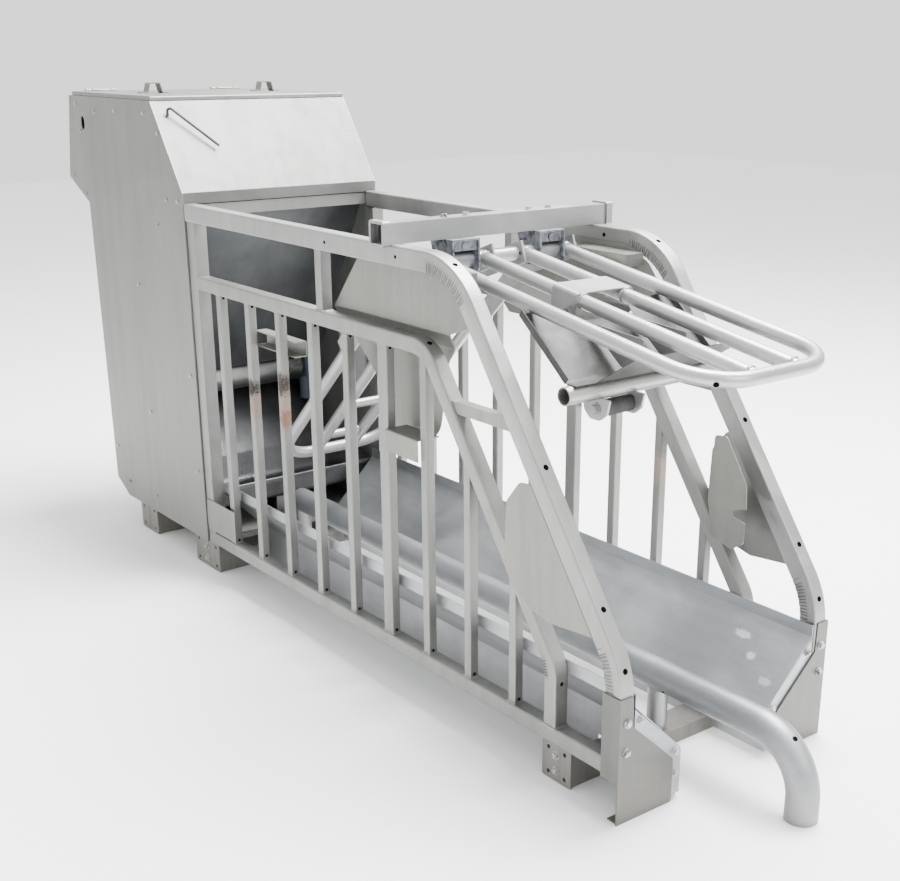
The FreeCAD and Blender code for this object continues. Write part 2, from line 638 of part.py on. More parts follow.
def build_rack():
    """The end of the see-saw over the entrance, with the tube and sheets below it."""
    slope, length, wall = dim("rack_slope"), dim("rack_length"), dim("rack_wall")
    pivot_r, tube_r = dim("pivot_diameter") / 2, dim("gate_tube") / 2
    frame = u_frame("rack_frame", length, wall)
    add_pocket(frame, "XZ_Plane", [circle(0, 0, pivot_r + WELD_GAP)], "600")
    bars = straight_tubes("rack_bars", 0, length, wall, pivot_r, tube_r)
    saddle = new_body("saddle_box")
    lift = tube_r + WELD_GAP
    side = dim("gate_inner_half") + tube_r + 1
    line = [(-side, lift - 48), (-side, lift), (side, lift), (side, lift - 48)]
    add_pad(saddle, "YZ_Plane", [strip(line, [0, 6, 6, 0], 3)], "86", 340)
    items = [place_on_pivot(body, slope) for body in (frame, bars, saddle)]

    apex = (dim("catch_along"), dim("catch_height") + dim("catch_diameter") / 2 + WELD_GAP)
    rear, front = (768, 1038), (1088, 985)
    low_rear, low_front = (apex[0] - 18, apex[1]), (apex[0] + 18, apex[1])
    wide, narrow = dim("catch_half_length") - 20, 170
    panel = new_body("drop_panel")
    add_pad(panel, "XZ_Plane", [strip([rear, low_rear, low_front], [0, 20, 0], 2)], f"{2 * wide}")
    add_pad(panel, "XZ_Plane", [strip([low_rear, low_front, front], [0, 20, 0], 2)], f"{2 * narrow}")
    flange = strip([rear, low_rear], [0, 0], 18)
    for edge in (-wide - 1, wide + 1):
        add_pad(panel, "XZ_Plane", [flange], "2", edge)
    saddle_room = rectangle((rear[0] - 10, -side - 6), (rear[0] + 36, side + 6))
    add_pocket(panel, "XY_Plane", [saddle_room], "100", rear[1])
    fins = []
    for name, y in (("left", -dim("gate_inner_half")), ("right", dim("gate_inner_half"))):
        corners = [(820, 1012), (932, 928), (966, 920), (1010, 955), (1000, 1000)]
        fins.append(plate(f"fin_{name}", [rounded(corners, [4] * 5)], "4", y))
    along, level = dim("catch_along"), dim("catch_height")
    catch = pipe_length("catch_tube", (along, -dim("catch_half_length"), level), (0, 1, 0),
                        2 * dim("catch_half_length"), "Dims.catch_diameter", "3")
    lugs, roller = build_catch_roller(along, level)
    return items + [panel, group("rack_gussets", fins + lugs), catch, roller]


def build_catch_roller(along, level):
    """Two lugs under the catch tube with a bolt through them, and the rubber roller on the bolt."""
    outline = [(along - 44, level - 16), (along + 44, level - 16), (along + 36, level - 50),
               (along + 14, level - 68), (along - 18, level - 68), (along - 38, level - 50)]
    axis, bolt_r = level - 44, 6
    tube = (along, level, dim("catch_diameter") / 2 + WELD_GAP)
    lugs = []
    for name, y in (("near", -152), ("far", -46)):
        lugs.append(plate(f"roller_lug_{name}", [rounded(outline, [3, 3, 16, 16, 16, 16])], "6", y,
                          [tube, (along, axis, bolt_r + 0.3)]))
    lugs.append(round_bar("roller_bolt", (along, -166, axis), (0, 1, 0), 134, f"{bolt_r}"))
    lugs.append(hex_bolt("roller_bolt_head", along, -155.2, axis, (0, -1, 0), 20, 9))
    roller = pipe_length("catch_roller", (along, -148, axis), (0, 1, 0), 98, "38", f"{19 - bolt_r - 0.3}")
    return lugs, roller


def build_arm():
    """The end of the see-saw in front of the feeder, which the animal pushes, and its lugs."""
    half, tube_r, wall = dim("gate_half_width"), dim("gate_tube") / 2, dim("arm_wall")
    slope, length = dim("arm_slope"), dim("arm_length")
    root = Vector(62, 0, 886)
    frame = u_frame("arm_frame", length, wall)
    inner = straight_tubes("arm_tubes", 0, length, wall, 0, tube_r)
    turn = Rotation(Vector(0, 0, 1), 180).multiply(Rotation(Vector(0, 1, 0), slope))
    for body in (frame, inner):
        body.Placement = Placement(root, turn)
    rungs = []
    gap = dim("gate_inner_half") - tube_r - WELD_GAP
    for name, along in (("low", 590), ("high", 415)):
        middle = root + turn.multVec(Vector(along, 0, 0))
        rungs.append(pipe_length(f"rung_{name}", (middle.x, -gap, middle.z), (0, 1, 0), 2 * gap, "26", "3"))
    line = [(dim("pivot_along") + 28, dim("pivot_height") + 8), (225, 1040), (0, 826)]
    lugs = []
    outer, inner_y = half + tube_r + 3, dim("gate_inner_half") - tube_r - 3
    places = (("outer_left", -outer), ("inner_left", -inner_y),
              ("inner_right", inner_y), ("outer_right", outer))
    for name, y in places:
        lugs.append(plate(f"arm_lug_{name}", [strip(line, [0, 60, 0], 28, 28)], "6", y,
                          [(dim("pivot_along"), dim("pivot_height"), dim("pivot_diameter") / 2 + WELD_GAP)]))
    return [frame, group("arm_bars", [inner] + rungs), group("arm_lugs", lugs)]


# ---------------------------------------------------------------- feeder housing

def housing_outline():
    """Corner points of the housing's side, from the bottom front, up the front and round the back."""
    return [(dim("housing_front"), dim("housing_bottom")), (dim("housing_front"), dim("cover_low")),
            (-840, dim("housing_top")), (-1460, dim("housing_top")), (dim("housing_rear"), 1185),
            (-1372, 1110), (-1356, 150), (-1268, dim("housing_bottom"))]


def build_housing_shell():
    """The feeder housing's sides, back, floor, sloping cover, top deck and front frame."""
    half, thick = dim("race_half_width"), dim("sheet_thickness")
    corners = housing_outline()
    items = []
    for side, sign in SIDES.items():
        panel = plate(f"housing_side_{side}", [rounded(corners, [0] * 8)], "Dims.sheet_thickness",
                      sign * (half - thick / 2))
        if side == "left":
            slot = [(-1378, 1345), (-1350, 1345), (-1350, 1387), (-1378, 1387)]
            add_pocket(panel, "XZ_Plane", [rounded(slot, [13.9] * 4)], "20")
        items.append(panel)
    inside = f"{2 * (half - thick)}"
    rear = new_body("housing_rear")
    add_pad(rear, "XZ_Plane", [strip(corners[3:8], [0, 4, 4, 4, 0], thick)], inside)
    floor = new_body("housing_floor")
    bottom = dim("housing_bottom")
    add_pad(floor, "XZ_Plane", [rectangle((-1264, bottom), (dim("housing_front"), bottom + thick))], inside)
    cover = new_body("slant_cover")
    front = dim("housing_front")
    add_pad(cover, "XZ_Plane", [strip([(front, 1163), corners[1], corners[2]], [0, 4, 0], thick)], inside)
    deck = new_body("top_deck")
    top = dim("housing_top")
    add_pad(deck, "XZ_Plane", [rectangle((-1455, top - thick), (-846, top))], inside)
    add_pocket(deck, "XY_Plane", [rectangle((-1400, -280), (-900, 280))], "100", top)
    posts = []
    for side, sign in SIDES.items():
        posts.append(square_post(f"front_post_{side}", front - 16, sign * (half - thick - 15.5),
                                 dim("housing_bottom") + thick, 1125, 30, 30, 2.5))
    reach = half - thick - 0.5
    outer = box("lintel_outer", (front - 40, -reach, 1125), (front - 4, reach, 1160))
    inner = box("lintel_inner", (front - 37, -reach, 1128), (front - 7, reach, 1157))
    return items + [rear, floor, cover, deck, group("front_frame", posts + [cut("lintel", outer, inner)])]


def build_lid():
    """Loose-pin hinged lid over the hopper, with two strap handles, and the hinge behind it."""
    top, thick = dim("housing_top"), dim("sheet_thickness")
    lid = new_body("hopper_lid")
    rest, low = top + 0.6, top + 13
    front, rear = -838, -1437
    edge = [(front, rest), (front, low), (rear, low), (rear, rest)]
    add_pad(lid, "XZ_Plane", [strip(edge, [0, 5, 5, 0], thick)], "674")
    for y in (-335.5, 335.5):
        add_pad(lid, "XZ_Plane", [rectangle((rear + 1, rest), (front - 1, low - 1))], "3", y)
    hinge_x, hinge_z = -1451, top + 13
    handles, knuckles, leaves = [], [], []
    for side, sign in SIDES.items():
        body = new_body(f"lid_handle_{side}")
        line = [(sign * 200 - 46, low + 3), (sign * 200 - 26, low + 3), (sign * 200 - 18, low + 32),
                (sign * 200 + 18, low + 32), (sign * 200 + 26, low + 3), (sign * 200 + 46, low + 3)]
        add_pad(body, "YZ_Plane", [strip(line, [0, 5, 6, 6, 5, 0], 0, 3)], "34", -1110)
        handles.append(body)
        leaf = new_body(f"lid_leaf_{side}")
        add_pad(leaf, "XZ_Plane", [circle(hinge_x, hinge_z, 6.5), circle(hinge_x, hinge_z, 3.06)], "60")
        add_pad(leaf, "XZ_Plane", [rectangle((hinge_x + 5.5, low), (hinge_x + 60, low + 2.4))], "60")
        leaf.Placement = Placement(Vector(0, sign * 230, 0), Rotation())
        leaves.append(leaf)
        knuckles.append(round_bar(f"hinge_pin_{side}", (hinge_x, sign * 230 - 55, hinge_z), (0, 1, 0),
                                  110, "3"))
        eye = [(hinge_x - 6, top), (hinge_x + 6, top), (hinge_x + 6, hinge_z + 6), (hinge_x - 6, hinge_z + 6)]
        for end, edge in (("near", -45), ("far", 45)):
            holder = new_body(f"hinge_eye_{side}_{end}")
            add_pad(holder, "XZ_Plane", [rounded(eye, [0, 0, 5, 5]), circle(hinge_x, hinge_z, 3.02)], "20")
            holder.Placement = Placement(Vector(0, sign * 230 + edge, 0), Rotation())
            knuckles.append(holder)
    return [lid, group("lid_fittings", handles + leaves), group("lid_hinge_eyes", knuckles)]


def build_feeder():
    """Hopper walls, star rotor with its casing and geared motor, trough, load cell, electronics."""
    half, thick = dim("race_half_width"), dim("sheet_thickness")
    along, height = dim("rotor_along"), dim("rotor_height")
    radius, clearance = dim("rotor_diameter") / 2, dim("rotor_clearance")
    inside = f"{2 * (half - thick)}"
    casing_r = radius + clearance + 3
    walls = []
    for name, top_x, low_x, above in (("front", -755, along + 42, 0), ("rear", -1349, along - 42, thick)):
        wall = new_body(f"hopper_wall_{name}")
        line = [(top_x, 1118), (low_x, height + 38)]
        add_pad(wall, "XZ_Plane", [strip(line, [0, 0], above, thick - above)], inside)
        walls.append(wall)
    casing = new_body("rotor_casing_tube")
    ring = [circle(along, height, casing_r), circle(along, height, radius + clearance)]
    add_pad(casing, "XZ_Plane", ring, "510")
    add_pocket(casing, "XY_Plane", [rectangle((along - 30, -240), (along + 30, 240))], "60", height + radius)
    add_pocket(casing, "XY_Plane", [rectangle((along - 22, -240), (along + 22, 240))], "60", height - radius)
    caps = []
    for side, sign in SIDES.items():
        cap = new_body(f"rotor_cap_{side}")
        ring = [circle(along, height, casing_r), circle(along, height, dim("shaft_diameter") / 2 + 0.06)]
        add_pad(cap, "XZ_Plane", ring, "6")
        cap.Placement = Placement(Vector(0, sign * 258, 0), Rotation())
        caps.append(cap)
    rotor = new_body("dosing_rotor")
    vanes, tip, root, spread = 6, radius - 1, 18, 3.0
    corners = []
    for i in range(vanes):
        vane = math.radians(60 * i + 30)
        side = Vector(-math.sin(vane), math.cos(vane), 0) * spread
        for reach, sign in ((root, -1), (tip, -1), (tip, 1), (root, 1)):
            point = Vector(math.cos(vane), math.sin(vane), 0) * reach + side * sign
            corners.append((along + point.x, height + point.y))
    add_pad(rotor, "XZ_Plane", [rounded(corners, [0] * len(corners))], "2 * Dims.rotor_half_length")
    add_pad(rotor, "XZ_Plane", [circle(along, height, dim("shaft_diameter") / 2)], "549.4")
    motor = new_body("gear_motor")
    gearbox = [(along - 45, height - 40), (along + 45, height - 40), (along + 45, height + 32),
               (along - 45, height + 32)]
    add_pad(motor, "XZ_Plane", [rounded(gearbox, [8] * 4)], "50", -300)
    add_pad(motor, "XY_Plane", [circle(along, 300, 24)], "90", height - 80)
    trough = new_body("feed_trough")
    line = [(-1180, 450), (-1010, 262), (-965, 170), (-735, 170), (-690, 262), (-676, 262), (-676, 250)]
    add_pad(trough, "XZ_Plane", [strip(line, [0, 30, 40, 40, 8, 3, 0], 0, 2)], "608")
    for y in (-303, 303):
        add_pad(trough, "XZ_Plane", [rounded(line[1:5], [0, 30, 30, 0])], "2", y)
    cell = box("load_cell_block", (-900, -20, dim("housing_bottom") + thick), (-780, 20, 168))
    bore = round_bar("load_cell_bore", (-840, -30, 138), (0, 1, 0), 60, "16")
    control = new_body("control_box")
    case = [(-1350, 190), (-1240, 190), (-1240, 420), (-1350, 420)]
    add_pad(control, "XZ_Plane", [rounded(case, [5] * 4)], "300")
    reader = new_body("tag_reader")
    case = [(-880, 520), (-720, 520), (-720, 720), (-880, 720)]
    add_pad(reader, "XZ_Plane", [rounded(case, [12] * 4)], "22")
    reader.Placement = Placement(Vector(0, half - thick - 11, 0), Rotation())
    return [group("hopper_walls", walls), group("rotor_casing", [casing] + caps), rotor, motor, trough,
            cut("trough_load_cell", cell, bore), control, reader]


def build_whip():
    """Thin bent aerial on the sloping cover."""
    body = new_body("whip_aerial")
    line = rounded([(0, 0), (0, 30), (146, -86)], [0, 8, 0], closed=False)
    path = add_sketch(body, "XZ_Plane", [line], closed=False)
    profile = add_sketch(body, "XY_Plane", [circle(0, 0, 4)])
    pipe = body.newObject("PartDesign::AdditivePipe", "whip_sweep")
    pipe.Profile = profile
    pipe.Spine = (path, ["Edge1", "Edge2", "Edge3"])
    body.Placement = Placement(Vector(-806, -300, 1407), Rotation(Vector(0, 0, 1), 60))
    return body


# ---------------------------------------------------------------- fasteners

def build_fasteners():
    """Bolt heads of the frame, the beams and the housing's panels."""
    half = dim("race_half_width")
    frame, housing = [], []
    front = dim("frame_front") + dim("foot_sheet")
    for side, sign in SIDES.items():
        for i, (y, z) in enumerate(((322, 245), (322, 175))):
            frame.append(hex_bolt(f"foot_bolt_{side}_{i}", front, sign * y, z, (1, 0, 0)))
        for i, (y, z) in enumerate(((279, 238), (164, 124), (163, 68))):
            frame.append(hex_bolt(f"flange_bolt_{side}_{i}", dim("frame_front") - 1, sign * y, z, (1, 0, 0)))
        for i, y in enumerate((100, 166)):
            frame.append(hex_bolt(f"cross_bolt_{side}_{i}", dim("cross_bar_along"), sign * y,
                                  dim("top_rail_top") + dim("cross_bar_size"), (0, 0, 1)))
        beam_face = half - 22 + 6
        for name in ("front_beam", "mid_beam"):
            for i, z in enumerate((30, 70)):
                frame.append(hex_bolt(f"{name}_bolt_{side}_{i}", dim(name), sign * beam_face, z,
                                      (0, sign, 0)))
        points = [(-1410, 1425), (-1263, 1405), (-1100, 1412), (-892, 1412), (-803, 1357), (-1486, 1192),
                  (-1390, 1137), (-776, 1168), (-700, 1169), (-848, 1088), (-1031, 880), (-1386, 1340),
                  (-1023, 458), (-1329, 271), (-1250, 158), (-1032, 160), (-700, 640), (-700, 330)]
        for i, (x, z) in enumerate(points):
            housing.append(hex_bolt(f"panel_bolt_{side}_{i}", x, sign * half, z, (0, sign, 0), 8, 2.5))
    return [group("frame_bolts", frame), group("panel_bolts", housing)]


def build_all():
    """Every node, in the order of the machine from the race to the fasteners."""
    nodes = []
    for side, sign in SIDES.items():
        nodes += build_side_frame(side, sign)
        nodes += [build_cheek(side, sign), build_entry_guide(side, sign), build_foot_plate(side, sign),
                  build_kick_sheet(side, sign)]
    nodes += build_cross_bar() + build_pivot_supports() + build_anti_lie_pipe() + build_beams()
    nodes += build_small_brackets()
    half = dim("gate_half_width") + 35
    nodes.append(pipe_length("pivot_tube", (dim("pivot_along"), -half, dim("pivot_height")), (0, 1, 0),
                             2 * half, "Dims.pivot_diameter", "4"))
    nodes += build_rack() + build_arm()
    nodes += build_housing_shell() + build_lid() + build_feeder() + [build_whip()] + build_fasteners()
    return nodes


def write_nodes(nodes):
    """Recomputes the document and writes one STEP file per node."""
    doc.recompute()
    bad = [o.Label for o in doc.Objects if {"Invalid", "Error"} & set(o.State)]
    if bad:
        raise RuntimeError(f"failed objects: {bad}")
    os.makedirs("parts", exist_ok=True)
    for node in nodes:
        shape = node.Shape
        if shape.isNull() or not shape.isValid():
            raise RuntimeError(f"{node.Label} has no valid shape")
        shape.exportStep(f"parts/{node.Label}.step")
    print(len(nodes), "nodes written")


write_nodes(build_all())
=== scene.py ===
"""Finishes and fine detail for the barred feeding stall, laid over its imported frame.

Metres. The race runs along X with its entrance at +X and the feeder at -X, Z is up and the floor is
z = 0. "left" is the side at -Y, nearest the camera.
"""

import json
import logging
from dataclasses import dataclass
from enum import Enum
from math import cos, radians, sin, tan
from typing import Callable, Sequence

import bpy
import numpy as np
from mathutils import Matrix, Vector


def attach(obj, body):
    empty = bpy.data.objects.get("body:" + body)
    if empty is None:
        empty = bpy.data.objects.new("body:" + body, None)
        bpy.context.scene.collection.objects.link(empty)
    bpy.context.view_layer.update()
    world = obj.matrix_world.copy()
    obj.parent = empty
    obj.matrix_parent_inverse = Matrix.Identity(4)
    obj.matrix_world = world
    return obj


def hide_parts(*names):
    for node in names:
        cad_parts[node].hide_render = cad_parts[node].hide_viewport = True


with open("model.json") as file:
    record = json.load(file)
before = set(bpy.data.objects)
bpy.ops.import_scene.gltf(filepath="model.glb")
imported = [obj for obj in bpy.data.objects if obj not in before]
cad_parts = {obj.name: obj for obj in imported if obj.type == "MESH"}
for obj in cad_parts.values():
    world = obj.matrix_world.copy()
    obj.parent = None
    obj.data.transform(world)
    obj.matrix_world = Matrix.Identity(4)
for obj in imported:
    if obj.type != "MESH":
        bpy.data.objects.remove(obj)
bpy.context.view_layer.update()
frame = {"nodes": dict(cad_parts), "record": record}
LOG = logging.getLogger("stall")

SHARP_ANGLE = radians(50)
FRONT = np.array([1.0, 0.0, 0.0])
UP = np.array([0.0, 0.0, 1.0])

Colour = tuple[float, float, float]
Point = tuple[float, float, float]


class Side(Enum):
    """The two long sides of the stall, with the sign of their Y."""

    LEFT = -1
    RIGHT = 1

    @property
    def label(self) -> str:
        """The side's name as node names spell it."""
        return self.name.lower()


# ---------------------------------------------------------------- node graphs

class Graph:
    """The node graph of a material or a world, with short calls for the nodes used here."""

    def __init__(self, owner: bpy.types.Material | bpy.types.World, place: str = "Object") -> None:
        """Empties the owner's graph and starts it with coordinates.

        Args:
            owner: What the graph belongs to.
            place: Which texture coordinates it works in.
        """
        self.owner = owner
        self.owner.use_nodes = True
        self.tree = self.owner.node_tree
        self.tree.nodes.clear()
        self.place = self.node("ShaderNodeTexCoord").outputs[place]
        self.axes = self.node("ShaderNodeSeparateXYZ", Vector=self.place).outputs

    def node(self, kind: str, settings: dict | None = None, **sockets) -> bpy.types.Node:
        """Adds a node.

        Args:
            kind: The node's type name.
            settings: Its properties.
            **sockets: Input values or the sockets that feed them; _ stands for a space.

        Returns:
            The new node.
        """
        item = self.tree.nodes.new(kind)
        for key, value in (settings or {}).items():
            setattr(item, key, value)
        for key, value in sockets.items():
            self.feed(item.inputs[key.replace("_", " ")], value)
        return item

    def feed(self, socket: bpy.types.NodeSocket, value: object) -> None:
        """Links a socket, or sets it when value is a number or a colour."""
        if isinstance(value, bpy.types.NodeSocket):
            self.tree.links.new(value, socket)
        elif socket.type == "RGBA" and len(value) == 3:
            socket.default_value = (*value, 1.0)
        else:
            socket.default_value = value

    def calc(self, operation: str, *values: object, clamp: bool = False) -> bpy.types.NodeSocket:
        """The result of a Math node on up to three values or sockets."""
        item = self.node("ShaderNodeMath", {"operation": operation, "use_clamp": clamp})
        for socket, value in zip(item.inputs, values):
            self.feed(socket, value)
        return item.outputs[0]

    def stretch(self, scale: Sequence[float]) -> bpy.types.NodeSocket:
        """Object coordinates scaled by a factor along each axis."""
        mapping = self.node("ShaderNodeMapping", Vector=self.place)
        mapping.inputs["Scale"].default_value = scale
        return mapping.outputs["Vector"]

    def noise(self, size: float, detail: float = 3.0, scale: Sequence[float] = (1, 1, 1),
              wander: float = 0.0) -> bpy.types.NodeSocket:
        """Fractal noise.

        Args:
            size: The width of its largest blotches in metres.
            detail: How many finer octaves are added.
            scale: Factor along each axis; a small one draws the blotches out along it.
            wander: Distortion of the pattern.

        Returns:
            The noise's value socket.
        """
        item = self.node("ShaderNodeTexNoise", Vector=self.stretch(scale), Scale=1 / size,
                         Detail=detail, Roughness=0.6, Distortion=wander)
        return item.outputs["Fac"]

    def cells(self, size: float, out: str = "Distance",
              scale: Sequence[float] = (1, 1, 1)) -> bpy.types.NodeSocket:
        """Voronoi cells of a size in metres; out is Distance or Color."""
        return self.node("ShaderNodeTexVoronoi", Vector=self.stretch(scale), Scale=1 / size).outputs[out]

    def remap(self, value: object, low: float, high: float, start: float = 0.0,
              end: float = 1.0) -> bpy.types.NodeSocket:
        """value taken from low..high to start..end, with smooth ends and held outside."""
        item = self.node("ShaderNodeMapRange", {"interpolation_type": "SMOOTHSTEP"}, Value=value)
        for socket, number in zip(item.inputs[1:5], (low, high, start, end)):
            socket.default_value = number
        return item.outputs[0]

    def mix(self, share: object, first: object, second: object,
            blend: str = "MIX") -> bpy.types.NodeSocket:
        """A colour between first and second."""
        item = self.node("ShaderNodeMix", {"data_type": "RGBA", "blend_type": blend})
        for index, value in ((0, share), (6, first), (7, second)):
            self.feed(item.inputs[index], value)
        return item.outputs[2]

    def bump(self, height: object, depth: float, strength: float = 1.0,
             normal: object = None) -> bpy.types.NodeSocket:
        """A normal that follows height, depth metres from its 0 to its 1."""
        item = self.node("ShaderNodeBump", Height=height, Distance=depth, Strength=strength)
        if normal is not None:
            self.feed(item.inputs["Normal"], normal)
        return item.outputs["Normal"]

    def surface(self, **sockets) -> bpy.types.Material:
        """Closes the graph with a Principled shader.

        Args:
            **sockets: Its inputs; _ stands for a space.

        Returns:
            The finished material.
        """
        shader = self.node("ShaderNodeBsdfPrincipled", **sockets)
        self.node("ShaderNodeOutputMaterial", Surface=shader.outputs["BSDF"])
        return self.owner


# ---------------------------------------------------------------- finishes

@dataclass(frozen=True)
class Stain:
    """A ragged patch of another colour.

    Attributes:
        centre: Its middle.
        radii: Its half size along each axis.
        colour: Its colour.
        strength: How far it covers the metal, 0 to 1.
        grain: Width of its ragged edge in metres.
    """

    centre: Point
    radii: Point
    colour: Colour
    strength: float = 0.8
    grain: float = 0.012

    def mask(self, graph: Graph) -> bpy.types.NodeSocket:
        """1 inside an ellipsoid whose surface is shifted by noise, falling to 0 outside it."""
        place = graph.place
        for operation, vector in (("SUBTRACT", self.centre), ("DIVIDE", self.radii)):
            step = graph.node("ShaderNodeVectorMath", {"operation": operation})
            graph.feed(step.inputs[0], place)
            graph.feed(step.inputs[1], vector)
            place = step.outputs[0]
        length = graph.node("ShaderNodeVectorMath", {"operation": "LENGTH"})
        graph.feed(length.inputs[0], place)
        ragged = graph.calc("MULTIPLY_ADD", graph.noise(self.grain, 4.0), 1.6, length.outputs["Value"])
        return graph.remap(ragged, 1.5, 1.95, self.strength, 0.0)


@dataclass(frozen=True)
class Crimp:
    """Fine wrinkles on the side faces of a bent tube, fanning out from the bend's centre.

    Attributes:
        centre: X and Z of the bend's centre.
        inner: Radius of the tube's inner face.
        reach: How far the wrinkles run out from it.
        angles: First and last angle of the bend in degrees from +X towards +Z.
        pitch: Angle from one wrinkle to the next in degrees.
    """

    centre: tuple[float, float]
    inner: float
    reach: float
    angles: tuple[float, float]
    pitch: float = 2.4

    def height(self, graph: Graph) -> bpy.types.NodeSocket:
        """The wrinkles' height: a sine of the angle round the centre, faded by radius and angle."""
        along = graph.calc("SUBTRACT", graph.axes["X"], self.centre[0])
        up = graph.calc("SUBTRACT", graph.axes["Z"], self.centre[1])
        angle = graph.calc("ARCTAN2", up, along)
        wobble = graph.calc("MULTIPLY_ADD", graph.noise(0.015, 2.0), radians(self.pitch) * 0.6, angle)
        wave = graph.calc("SINE", graph.calc("MULTIPLY", wobble, 360 / self.pitch))
        radius = graph.calc("SQRT", graph.calc("ADD", graph.calc("POWER", along, 2.0),
                                               graph.calc("POWER", up, 2.0)))
        near = graph.remap(radius, self.inner + 0.6 * self.reach, self.inner + self.reach, 1.0, 0.0)
        beyond = graph.calc("GREATER_THAN", radius, self.inner - 0.004)
        first = graph.remap(angle, radians(self.angles[0]), radians(self.angles[0] + 6))
        last = graph.remap(angle, radians(self.angles[1] - 6), radians(self.angles[1]), 1.0, 0.0)
        window = graph.calc("MULTIPLY", graph.calc("MULTIPLY", near, beyond),
                            graph.calc("MULTIPLY", first, last))
        return graph.calc("MULTIPLY", graph.calc("MULTIPLY_ADD", wave, 0.5, 0.5), window)


@dataclass(frozen=True)
class Finish:
    """A sprayed or galvanised metal surface, or a moulded one.

    Attributes:
        name: The material's name.
        base: Its main colour.
        cloud: The colour of its broad blotches.
        cloud_size: Their width.
        streak: How strongly runs and wipes show, 0 to 1.
        streak_scale: Factors that draw the streaks out along an axis.
        metal: Metallic share.
        rough: Roughness from its smoothest to its dullest place.
        grain: Depth of the fine spray texture.
        grain_size: Width of its grains.
        soil: Colour of the dust that gathers low down.
        soil_top: Height at which the dust ends.
        soil_share: How thick it lies at the floor, 0 to 1.
        specks: Share of the surface with fine dark specks.
        gloss: Strength of the surface's mirror reflection.
        warp: Depth of the broad dents of thin sheet, 0 for none.
        stains: Patches of another colour.
        crimps: Wrinkled bends, drawn with painted shade along the wrinkles.
    """

    name: str
    base: Colour
    cloud: Colour
    cloud_size: float = 0.22
    streak: float = 0.25
    streak_scale: Point = (1.0, 1.0, 0.08)
    metal: float = 0.75
    rough: tuple[float, float] = (0.34, 0.52)
    grain: float = 0.00025
    grain_size: float = 0.0035
    soil: Colour = (0.24, 0.22, 0.19)
    soil_top: float = 0.22
    soil_share: float = 0.25
    specks: float = 0.12
    gloss: float = 0.5
    warp: float = 0.0008
    stains: tuple[Stain, ...] = ()
    crimps: tuple[Crimp, ...] = ()

    def material(self) -> bpy.types.Material:
        """Builds the node graph: blotches, streaks, specks, low dust, stains, painted shade along the
        wrinkles of bends, then gloss and bump.
        """
        graph = Graph(bpy.data.materials.new(self.name))
        blotch = graph.noise(self.cloud_size, 4.0, wander=0.6)
        colour = graph.mix(graph.remap(blotch, 0.34, 0.68), self.base, self.cloud)
        runs = graph.noise(0.045, 4.0, self.streak_scale, 0.3)
        runs_share = graph.remap(runs, 0.38, 0.7, 0.0, self.streak)
        colour = graph.mix(runs_share, colour, tuple(c * 0.62 for c in self.base))
        wipes = graph.noise(0.09, 2.0, self.streak_scale, 0.5)
        wipes_share = graph.remap(wipes, 0.52, 0.75, 0.0, self.streak * 0.9)
        colour = graph.mix(wipes_share, colour, tuple(min(1.0, c * 1.22) for c in self.base))
        fleck = graph.cells(0.011, scale=(1.0, 1.0, 0.7))
        patch = graph.remap(graph.noise(0.12, 2.0), 0.5, 0.72)
        fleck_share = graph.calc("MULTIPLY", graph.remap(fleck, 0.05, 0.2, self.specks * 3, 0.0), patch)
        colour = graph.mix(fleck_share, colour, tuple(c * 0.35 for c in self.base))
        low = graph.remap(graph.axes["Z"], 0.0, self.soil_top, self.soil_share, 0.0)
        low = graph.calc("MULTIPLY", low, graph.remap(graph.noise(0.06, 5.0), 0.3, 0.62, 0.35, 1.0))
        colour = graph.mix(low, colour, self.soil)
        dull = graph.calc("ADD", graph.remap(blotch, 0.3, 0.75, *self.rough),
                          graph.calc("MULTIPLY", runs_share, 0.25))
        dull = graph.calc("ADD", dull, graph.calc("MULTIPLY", low, 0.35), clamp=True)
        for stain in self.stains:
            mask = stain.mask(graph)
            colour = graph.mix(mask, colour, stain.colour)
            dull = graph.calc("ADD", dull, graph.calc("MULTIPLY", mask, 0.3), clamp=True)
        height = graph.calc("ADD", graph.noise(self.grain_size, 3.0),
                            graph.calc("MULTIPLY", runs, 0.6))
        normal = graph.bump(height, self.grain * 4, 0.7)
        for crimp in self.crimps:
            ridge = crimp.height(graph)
            normal = graph.bump(ridge, 0.0016, 1.0, normal)
            # Painted shade: dark lines along the wrinkles stand in for the shade in their folds.
            colour = graph.mix(graph.remap(ridge, 0.4, 0.85, 0.0, 0.75), colour,
                               tuple(c * 0.3 for c in self.base))
        if self.warp:
            normal = graph.bump(graph.noise(0.16, 1.0), self.warp, 0.6, normal)
        return graph.surface(Base_Color=colour, Metallic=self.metal, Roughness=dull, Normal=normal,
                             Specular_IOR_Level=self.gloss)


@dataclass(frozen=True)
class CastZinc(Finish):
    """Cast or dipped zinc with a mottled crystal pattern and dark blotches of grime."""

    cell: float = 0.009

    def material(self) -> bpy.types.Material:
        """Cells of slightly different greys, each with its own gloss, under a fine bump."""
        graph = Graph(bpy.data.materials.new(self.name))
        spangle = graph.node("ShaderNodeSeparateColor", Color=graph.cells(self.cell, out="Color")).outputs[0]
        colour = graph.mix(graph.remap(spangle, 0.1, 0.9), self.base, self.cloud)
        grime = graph.remap(graph.noise(0.03, 5.0, wander=1.0), 0.5, 0.68, 0.0, 0.75)
        colour = graph.mix(grime, colour, tuple(c * 0.22 for c in self.base))
        dull = graph.calc("ADD", graph.remap(spangle, 0.0, 1.0, *self.rough), grime, clamp=True)
        height = graph.calc("ADD", graph.noise(0.004, 4.0), graph.calc("MULTIPLY", spangle, 0.3))
        return graph.surface(Base_Color=colour, Metallic=self.metal, Roughness=dull,
                             Normal=graph.bump(height, self.grain * 4, 0.8))


